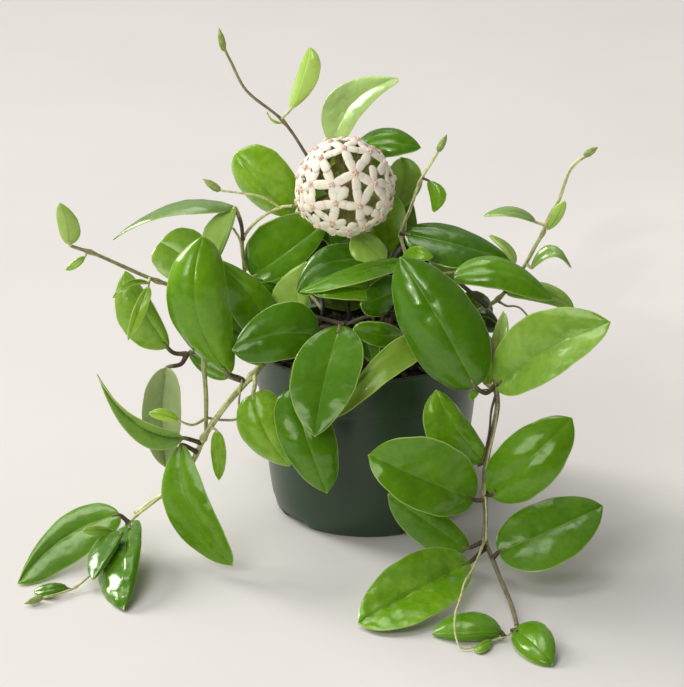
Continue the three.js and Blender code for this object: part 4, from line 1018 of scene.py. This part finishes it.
def leaf_look(name):
    look = Look(
        name, Specular_IOR_Level=0.5, Specular_Tint=(0.87, 1, 0.62, 1), Coat_Weight=0.3, Coat_Roughness=0.1,
    )
    tone = look.read("tone")
    for pattern, span in TONE_RANGES.items():
        tone = look.plus(tone, look.spread(look.noise(pattern), *span))
    colour = look.ramp(tone, LEAF_TONES)
    rib = look.ranged(look.maths("ABSOLUTE", look.read("offset")), *LEAF_BANDS["rib"])
    rib = look.times(rib, look.ranged(look.read("along"), *LEAF_BANDS["rib_fades"]))
    colour = look.blend(rib, colour, LEAF_TINTS["rib"])
    veins = look.ranged(look.maths("SINE", look.times(look.read("vein"), 2 * math.pi)), *LEAF_BANDS["vein"])
    colour = look.blend(look.times(veins, TINT_SHARES["vein"]), colour, LEAF_TINTS["rib"])
    below = look.ranged(look.read("upper"), *LEAF_BANDS["below"])
    colour = look.blend(look.times(below, TINT_SHARES["underside"]), colour, LEAF_TINTS["underside"])
    # Painted sheen: a pale grey-green cast where a leaf shows a broad highlight.
    colour = look.blend(look.read("bloom"), colour, LEAF_TINTS["bloom"])
    margin = look.ranged(look.read("inset"), *LEAF_BANDS["margin"])
    colour = look.blend(look.times(margin, TINT_SHARES["margin"]), colour, LEAF_TINTS["margin"])
    rough = look.spread(look.noise("sheen"), *ROUGHNESS["leaf"])
    rough = look.plus(rough, look.times(below, UNDERSIDE_ROUGHER))
    relief = look.plus(look.noise("dents"), look.times(look.noise("wrinkles"), WRINKLE_SHARE))
    normal = look.bump(look.noise("pores"), "pores", under=look.bump(relief, "dents"))
    return look.finish(Base_Color=colour, Roughness=rough, Normal=normal)


def stem_look():
    look = Look("stem_bark")
    reach = look.times(look.read("reach"), STREAKS["stretch"])
    stretched = look.node("CombineXYZ", X=reach, Y=look.read("turn"))
    streak = look.noise("streaks", vector=stretched.outputs[0])
    speck = look.noise("bark")
    shading = look.plus(streak, look.times(speck, STREAKS["specks"]))
    shading = look.ranged(shading, *STREAKS["span"])
    tint = look.read("tint", "Color")
    colour = look.node("VectorMath", dict(operation="SCALE"), Vector=tint, Scale=shading).outputs[0]
    return look.finish(
        Base_Color=colour, Roughness=look.spread(speck, *ROUGHNESS["bark"]), Normal=look.bump(speck, "bark"),
    )


def pot_look():
    look = Look("pot_plastic", Specular_IOR_Level=0.5)
    cloud = look.noise("plastic")
    normal = look.bump(cloud, "plastic", under=look.bump(look.noise("moulding"), "moulding"))
    rough = look.spread(cloud, *ROUGHNESS["plastic"])
    return look.finish(Base_Color=look.ramp(cloud, PLASTIC), Roughness=rough, Normal=normal)


def mix_look():
    look = Look("bark_mix", Specular_IOR_Level=0.3)
    grain = look.noise("mix")
    tone = look.plus(
        look.times(look.read("tint"), MIX_SHARES["tint"]), look.times(grain, MIX_SHARES["grain"]),
    )
    return look.finish(
        Base_Color=look.ramp(tone, BARK_MIX), Roughness=look.spread(grain, *ROUGHNESS["mix"]),
        Normal=look.bump(grain, "mix"),
    )


def flower_look():
    look = Look("petal", Subsurface_Weight=0.2, Subsurface_Scale=0.002)
    mottle = look.noise("petal")
    return look.finish(
        Base_Color=look.ramp(look.read("tint"), FLOWER), Normal=look.bump(mottle, "petal"),
        Roughness=look.spread(mottle, *ROUGHNESS["petal"]),
    )


# The umbel: a ball of star flowers on pedicels that spread from one hub. Those
# that face the viewer are placed by view, and the others fill the rest.

UMBEL = dict(
    place=(345, 187, 20), ball=31.2, uneven=0.8, hub=5, apart=12.6, apart_at_edge=9.2, apart_behind=14,
    front=-0.5, back=0.2, tries=420,
)
PEDICEL = dict(thickness=0.7, starts=3, bends=19, stops_short=0.3, sway=1.4, step=3, sides=7, flare=0.9)
STALK = dict(thickness=2.6, step=2, sides=12, path=[(322, 198, 17), (293.4, 206.2, 13.2)])
UMBEL_SEEN = [
    (322, 159), (344, 150), (368.6, 152.5), (384, 163), (355, 173.6), (373, 183.6), (332, 185),
    (311, 184), (393, 192), (298.7, 201), (314, 206), (336, 203), (359, 206), (379, 215), (319, 225),
    (348.5, 230), (331, 143.5), (357, 142), (307, 168), (395.5, 178),
]
PETAL = dict(
    count=5, rows=9, columns=7, width=6.1, thickness=1.5, start=0.4, reach=9, shortest=7.5, longest=12,
    past_halfway=1.3, drawn=0.8, neighbours=6, near=24, spins=24, hump=0.25, arch=0.35, thin_edge=0.75,
    thin_end=0.35, droop=(-0.5, 0.7), lightens=1.5,
    outline=((0, 0.72), (0.2, 0.86), (0.55, 1), (0.8, 1.04), (0.93, 0.86), (1, 0.45)),
)
LOBE = dict(radii=(1.25, 0.75, 0.95), out=1.4, up=1.2)
COLUMN = dict(radii=(0.9, 0.9, 0.8), up=1.7)
# The petals' undersides take a dark olive tint: painted shade for the inside of the ball.
TINT = dict(
    throat=0.42, underside_painted_shade=0.93, lobe=0.38, lobe_range=(-0.1, 0.1), column=0.12, hub=0.66, pedicel=0.92,
    pedicel_end=0.12, stalk=1,
)


def on_ball(across, down, centre):
    """The direction from the ball's centre to the place of its near side on a line of sight."""
    sight = unit(ray(across, down))
    to_centre = centre - EYE
    near = np.dot(to_centre, sight)
    miss = np.linalg.norm(to_centre - sight * near)
    back = math.sqrt(max(0.0, UMBEL["ball"] ** 2 - miss ** 2))
    return unit(EYE + sight * (near - back) - centre)


def flower_directions(centre):
    directions = [on_ball(across, down, centre) for across, down in UMBEL_SEEN]
    for order in range(UMBEL["tries"]):
        height = 1 - 2 * (order + 0.5) / UMBEL["tries"]
        heading = about_axis(math.sqrt(1 - height * height), order * GOLDEN_TURN, height)
        away = np.dot(heading, SIGHTLINE)
        gap = UMBEL["apart_behind"]
        if away < UMBEL["back"]:
            gap = UMBEL["apart"] if away < UMBEL["front"] else UMBEL["apart_at_edge"]
        if min(np.linalg.norm(heading - other) for other in directions) * UMBEL["ball"] > gap:
            directions.append(heading)
    return directions


def cross_frame(direction):
    """Two directions across another one."""
    first = unit(np.cross(direction, at(0.2, 0.1, 1) if abs(direction[2]) < 0.9 else at(1, 0, 0)))
    return first, np.cross(direction, first)


def spoke(direction, angle):
    """The direction at an angle round another one, across it."""
    first, second = cross_frame(direction)
    return first * math.cos(angle) + second * math.sin(angle)


def petal_turns(here, directions):
    """Each petal's angle and reach: evenly spread, then drawn to the flowers around."""
    first, second = cross_frame(here)
    around = []
    for other in directions:
        gap = np.linalg.norm(other - here) * UMBEL["ball"]
        if 0 < gap < PETAL["near"]:
            around.append((gap, math.atan2(np.dot(other, second), np.dot(other, first))))
    around = sorted(around)[:PETAL["neighbours"]]
    step = 2 * math.pi / PETAL["count"]
    best = max(
        (sum(math.cos(PETAL["count"] * (angle - spin)) / gap for gap, angle in around), spin)
        for spin in np.linspace(0, step, PETAL["spins"], endpoint=False)
    )[1]
    turns = []
    for number in range(PETAL["count"]):
        angle, reach = best + number * step, PETAL["reach"]
        for gap, heading in around:
            off = (heading - angle + math.pi) % (2 * math.pi) - math.pi
            if abs(off) < step / 2:
                reach = min(max(gap / 2 + PETAL["past_halfway"], PETAL["shortest"]), PETAL["longest"])
                angle = angle + off * PETAL["drawn"]
                break
        turns.append((angle, reach))
    return turns


def petal(reach, turn, direction, centre, droop):
    """One thick petal that follows the ball from a flower's centre outwards."""
    rows, columns = PETAL["rows"], PETAL["columns"]
    s = np.linspace(0, 1, rows)
    t = np.linspace(-1, 1, columns)
    out = spoke(direction, turn)
    beside = np.cross(direction, out)
    width = PETAL["width"] / 2 * np.interp(s, *zip(*PETAL["outline"]))
    length = PETAL["start"] + s * (reach - PETAL["start"])
    drop = length ** 2 / (2 * UMBEL["ball"]) + droop * s ** 3 - PETAL["hump"] * np.sin(s * math.pi)
    spine = centre + out * length[:, None] - direction * drop[:, None]
    thick = PETAL["thickness"] / 2 * (1 - PETAL["thin_edge"] * np.abs(t) ** 3)
    flat = spine[:, None] + beside * (width[:, None] * t[None])[..., None]
    sheets = []
    for side in (1, -1):
        height = -PETAL["arch"] * t ** 2 + side * thick[None] * (1 - PETAL["thin_end"] * s[:, None] ** 6)
        sheets.append((flat + direction * height[..., None]).reshape(-1, 3))
    size = rows * columns
    grid = np.arange(size).reshape(rows, columns)
    border = np.concatenate([grid[0], grid[1:, -1], grid[-1, -2::-1], grid[-2:0:-1, 0]])
    after = np.roll(border, -1)
    edge = np.stack([border, after, after + size, border + size], 1)
    face = quads(rows, columns)
    # The upper sheet is pale with a pink blush at the throat; the lower sheet is painted shade.
    blush = np.repeat(np.maximum(TINT["throat"] - s * PETAL["lightens"], 0), columns)
    tint = np.concatenate([blush, np.full(size, TINT["underside_painted_shade"])])
    return np.concatenate(sheets), [face, face[:, ::-1] + size, edge], tint


# How far short of the poles a ball's first and last rings lie, as an angle

POLE_GAP = 0.08


def ball_of(radii, centre, rings=4, sides=6):
    """A closed ellipsoid."""
    down = np.linspace(POLE_GAP, math.pi - POLE_GAP, rings + 1)[:, None]
    points = about_axis(np.sin(down), angles_round(sides), np.cos(down) * np.ones(sides))
    around = np.arange(sides)
    faces = [quads(rings + 1, sides, wrap=True), around[::-1][None], (rings * sides + around)[None]]
    return points.reshape(-1, 3) * radii + centre, faces


def turned(points, direction, spin, centre):
    """Points about the Z axis, spun, then turned to a direction and moved to a centre."""
    swing = Vector(at(0, 0, 1)).rotation_difference(Vector(direction)).to_matrix()
    spun = np.array([[math.cos(spin), -math.sin(spin), 0], [math.sin(spin), math.cos(spin), 0], [0, 0, 1]])
    return points @ spun.T @ np.array(swing).T + centre


def umbel(look):
    draw = random.Random("umbel")
    shape = Shape()
    centre = place(UMBEL["place"])
    shape.add(*ball_of(UMBEL["hub"], centre, rings=8, sides=12), tint=TINT["hub"])
    directions = flower_directions(centre)
    for direction in directions:
        face = centre + direction * (UMBEL["ball"] + draw.uniform(*EITHER_WAY) * UMBEL["uneven"])
        for turn, reach in petal_turns(direction, directions):
            points, faces, tint = petal(reach, turn, direction, face, draw.uniform(*PETAL["droop"]))
            shape.add(points, faces, tint=tint)
            between = turn + math.pi / PETAL["count"]
            lobe_at = face + spoke(direction, between) * LOBE["out"] + direction * LOBE["up"]
            points, faces = ball_of(LOBE["radii"], 0)
            tint = TINT["lobe"] + draw.uniform(*TINT["lobe_range"])
            shape.add(turned(points, direction, between, lobe_at), faces, tint=tint)
        points, faces = ball_of(COLUMN["radii"], at(0, 0, COLUMN["up"]))
        shape.add(turned(points, direction, 0, face), faces, tint=TINT["column"])
        sway = at(*(draw.uniform(*EITHER_WAY) for _ in range(3))) * PEDICEL["sway"]
        start, end = centre + direction * PEDICEL["starts"], face - direction * PEDICEL["stops_short"]
        line = smooth_line([start, centre + direction * PEDICEL["bends"] + sway, end], PEDICEL["step"])
        t = np.linspace(0, 1, len(line))
        tints = TINT["pedicel"] - (TINT["pedicel"] - TINT["pedicel_end"]) * t ** 12
        radii = PEDICEL["thickness"] / 2 * (1 + PEDICEL["flare"] * t ** 8)
        sides = PEDICEL["sides"]
        shape.add(*tube(line, radii, sides), tint=round_tube(tints, sides))
    stalk = smooth_line([centre, *STALK["path"]], STALK["step"])
    radii = np.full(len(stalk), STALK["thickness"] / 2)
    shape.add(*tube(stalk, radii, STALK["sides"]), tint=TINT["stalk"])
    shape.build("umbel_flowers", look, "flower", "umbel")


# The pot: turned, with a band round the rim and notches at the foot


def pot_profile():
    """The points round the wall, from the foot's centre out, up, over the rim and down inside."""
    rim, body, waist, foot, top = (POT[key] for key in ("rim", "body", "waist", "foot", "height"))
    wall, floor = POT["wall"], POT["floor"]
    inner = rim - wall
    band = top - POT["band"]
    return [
        (0, 0), (20, 0), (40, 0), (50, 0), (foot - 1.2, 0), (foot, 0.3), (foot + 1.4, 1.6),
        (foot + POT["flare"], POT["foot_height"]), (waist - 1.4, 8), (waist, POT["waist_height"]),
        (waist + 1.3, 20), (body - 4.6, 50), (body - 2.2, 70), (body - 0.5, band - 4.5),
        (body - 0.3, band - 1.2), (body, band - 0.3), (rim - 0.5, band), (rim - 0.25, band + 0.5),
        (rim - 0.15, band + 8), (rim - 0.1, top - 3.2), (rim, top - 2.6), (rim, top - 0.9),
        (rim - 0.25, top - 0.3), (rim - 0.7, top), (inner + 0.3, top - 0.1), (inner, top - 0.6),
        (inner - 0.5, top - 10), (inner - 0.8, band), (body - wall, band - 2), (body - 5, 50),
        (waist - wall, 12), (foot, floor), (30, floor), (0, floor),
    ]


def pot(look):
    profile = np.array(pot_profile(), float)
    angles = angles_round(POT["turns"])
    radius = np.repeat(profile[:, :1], len(angles), 1)
    height = np.repeat(profile[:, 1:], len(angles), 1)
    step = 2 * math.pi / POT["notches"]
    away = np.abs((angles - math.radians(POT["notch_turn"]) + step / 2) % step - step / 2)
    inside = away < math.radians(POT["notch_angle"] / 2)
    deep, top = POT["foot"] - POT["notch_depth"], POT["notch_height"]
    cut = [(deep - 1, 0), (deep, 0), (deep, 0.3), (deep, top - 0.3), (POT["foot"] + POT["flare"], top)]
    for row, (cut_radius, cut_height) in enumerate(cut, POT["notch_row"]):
        radius[row, inside] = cut_radius
        height[row, inside] = cut_height
    shape = Shape()
    faces = quads(len(profile), len(angles), wrap=True)[:, ::-1]
    shape.add(about_axis(radius, angles, height), [faces], tint=0.0)
    shape.build("pot_shell", look, "pot", "pot")


# The bark mix: a mound under loose chips of many sizes

MIX = dict(
    radius=72.3, edge=POT["height"] - 9, mound=12, rough=0.5, calm=20, sunk=1.4, base=90, tint=0.15,
    rings=26, turns=96,
)
CHIP = dict(
    count=420, inset=5, stray=(-0.2, 0.2), size=(2.2, 6.2), width=(0.5, 0.8), height=(0.22, 0.45),
    uneven=0.32, lean=(-0.7, 0.7),
)


def mix_height(radius):
    return MIX["edge"] + MIX["mound"] * (1 - (radius / MIX["radius"]) ** 2)


def bark_mix(look):
    draw = random.Random("bark")
    shape = Shape()
    radius = np.linspace(0.0, MIX["radius"], MIX["rings"])
    r, a = np.meshgrid(radius, angles_round(MIX["turns"]), indexing="ij")
    # three waves that cross one another, each by the radius and the angle
    rough = np.sin(r * 0.6 + 3 * np.sin(a * 5)) + np.sin(a * 17 + r * 0.35) + np.sin(r * 1.1 - a * 9)
    height = mix_height(r) + MIX["rough"] * rough * np.minimum(1, r / MIX["calm"]) - MIX["sunk"]
    top = about_axis(r, a, height).reshape(-1, 3)
    turns = MIX["turns"]
    skirt = top[-turns:].copy()
    skirt[:, 2] = MIX["base"]
    rim = np.arange(turns)
    beside = (rim + 1) % turns
    count = len(top)
    last = count - turns
    faces = [
        quads(len(radius), turns, wrap=True),
        np.stack([last + rim, count + rim, count + beside, last + beside], 1),
        np.stack([count + rim, np.full(turns, count + turns), count + beside], 1),
    ]
    shape.add(np.concatenate([top, skirt, [[0, 0, MIX["base"]]]]), faces, tint=MIX["tint"])
    for order in range(CHIP["count"]):
        spread = (MIX["radius"] - CHIP["inset"]) * math.sqrt((order + 0.5) / CHIP["count"])
        angle = order * GOLDEN_TURN + draw.uniform(*CHIP["stray"])
        size = draw.uniform(*CHIP["size"])
        radii = np.array([size, size * draw.uniform(*CHIP["width"]), size * draw.uniform(*CHIP["height"])])
        points, faces = ball_of(radii, 0)
        uneven = np.array([draw.uniform(*EITHER_WAY) for _ in points])
        points = points * (1 + CHIP["uneven"] * uneven[:, None])
        lean = unit(at(draw.uniform(*CHIP["lean"]), draw.uniform(*CHIP["lean"]), 1))
        where = about_axis(spread, angle, mix_height(spread) + draw.uniform(*EITHER_WAY))
        shape.add(turned(points, lean, draw.uniform(*PHASE), where), faces, tint=draw.uniform(0, 1))
    shape.build("bark_mix", look, "potting_mix", "potting_mix", smooth=False)


# Floor, light and camera, in metres

STAGE = dict(half_width=9, rows=(-9, -3, -1, 1), bend_from=3.4, bend_radius=0.9, bend_steps=12)
LAMPS = dict(
    key=dict(kind="SUN", position=(-1.15, 0.8, 0.85), power=2.25, colour=(1, 0.985, 0.97),
             angle=math.radians(24)),
    front=dict(kind="AREA", position=(-1.5, -2.4, 2.0), power=42, colour=(1, 0.99, 0.98),
               shape="RECTANGLE", size=2.2, size_y=1.6),
    above=dict(kind="AREA", position=(-0.6, 0.8, 2.3), power=20, colour=(1, 0.985, 0.97),
               shape="RECTANGLE", size=1.5, size_y=1.2),
    # a narrow soft lamp on the umbel
    snoot=dict(kind="SPOT", position=(-0.8, -1.8, 1.15), power=340, colour=(1, 0.98, 0.94),
               aim=place(UMBEL["place"]) * MM, spot_size=math.radians(2.6), spot_blend=1,
               shadow_soft_size=0.12),
)
WORLD_COLOUR = (1, 0.98, 0.965, 1)
WORLD_TOWARDS = (-0.25, 0.7, 0.55)
WORLD_STRENGTH = {"From Min": -0.25, "From Max": 0.9, "To Min": 0.08, "To Max": 0.4}


def stage():
    """A pale floor that curves up into a pale wall far behind."""
    start, radius, steps = STAGE["bend_from"], STAGE["bend_radius"], STAGE["bend_steps"]
    rows = [(y, 0) for y in (*STAGE["rows"], start)]
    for step in range(1, steps + 1):
        turn = step / steps * math.pi / 2
        rows.append((start + radius * math.sin(turn), radius - radius * math.cos(turn)))
    points = [(x, y, z) for y, z in rows for x in (-STAGE["half_width"], STAGE["half_width"])]
    mesh = bpy.data.meshes.new("floor")
    mesh.from_pydata(points, [], quads(len(rows), 2)[:, ::-1].tolist())
    shade(mesh)
    floor = add_object("floor", mesh)
    look = Look("pale_floor", Roughness=0.75, Specular_IOR_Level=0.2)
    mesh.materials.append(look.finish(Base_Color=look.ramp(look.noise("floor"), PALE)))


def lamp(name, kind, position, power, colour, aim=(0, 0, 0.12), **settings):
    """A lamp that faces a place."""
    light = bpy.data.lights.new(name, kind)
    for key, value in dict(energy=power, color=colour, **settings).items():
        setattr(light, key, value)
    body = add_object(name, light)
    body.location = position
    body.rotation_euler = (Vector(aim) - Vector(position)).to_track_quat("-Z", "Y").to_euler()


def world():
    """A pale sky, brightest above the wall and a little to the left."""
    sky = bpy.data.worlds.new("studio")
    sky.use_nodes = True
    nodes, links = sky.node_tree.nodes, sky.node_tree.links
    background = nodes["Background"]
    background.inputs["Color"].default_value = WORLD_COLOUR
    heading = nodes.new("ShaderNodeTexCoord")
    weigh = nodes.new("ShaderNodeVectorMath")
    weigh.operation = "DOT_PRODUCT"
    weigh.inputs[1].default_value = WORLD_TOWARDS
    spread = nodes.new("ShaderNodeMapRange")
    spread.interpolation_type = "SMOOTHSTEP"
    for key, value in WORLD_STRENGTH.items():
        spread.inputs[key].default_value = value
    links.new(heading.outputs["Generated"], weigh.inputs[0])
    links.new(weigh.outputs["Value"], spread.inputs["Value"])
    links.new(spread.outputs["Result"], background.inputs["Strength"])
    bpy.context.scene.world = sky


def camera():
    data = bpy.data.cameras.new("camera")
    data.sensor_width = VIEW["sensor"]
    data.lens = VIEW["sensor"] * VIEW["focal"] / VIEW["image"]
    data.clip_end = VIEW["clip_end"]
    eye = add_object("camera", data)
    eye.location = Vector(EYE * MM)
    eye.rotation_euler = (math.pi / 2 - TILT, 0, 0)
    bpy.context.scene.camera = eye
    bpy.context.scene.view_settings.view_transform = "Standard"


camera()
stage()
for lamp_name, lamp_plan in LAMPS.items():
    lamp(lamp_name, **lamp_plan)
world()
bark_look = stem_look()
leaf_looks = {slot: leaf_look(slot) for slot in ("leaf_bright", "leaf_mid", "leaf_dark")}
for stem_name, (stem_plan, stem_slot) in STEMS.items():
    leafy_stem(stem_name, stem_plan, stem_slot, leaf_looks[stem_slot], bark_look)
pot(pot_look())
bark_mix(mix_look())
umbel(flower_look())
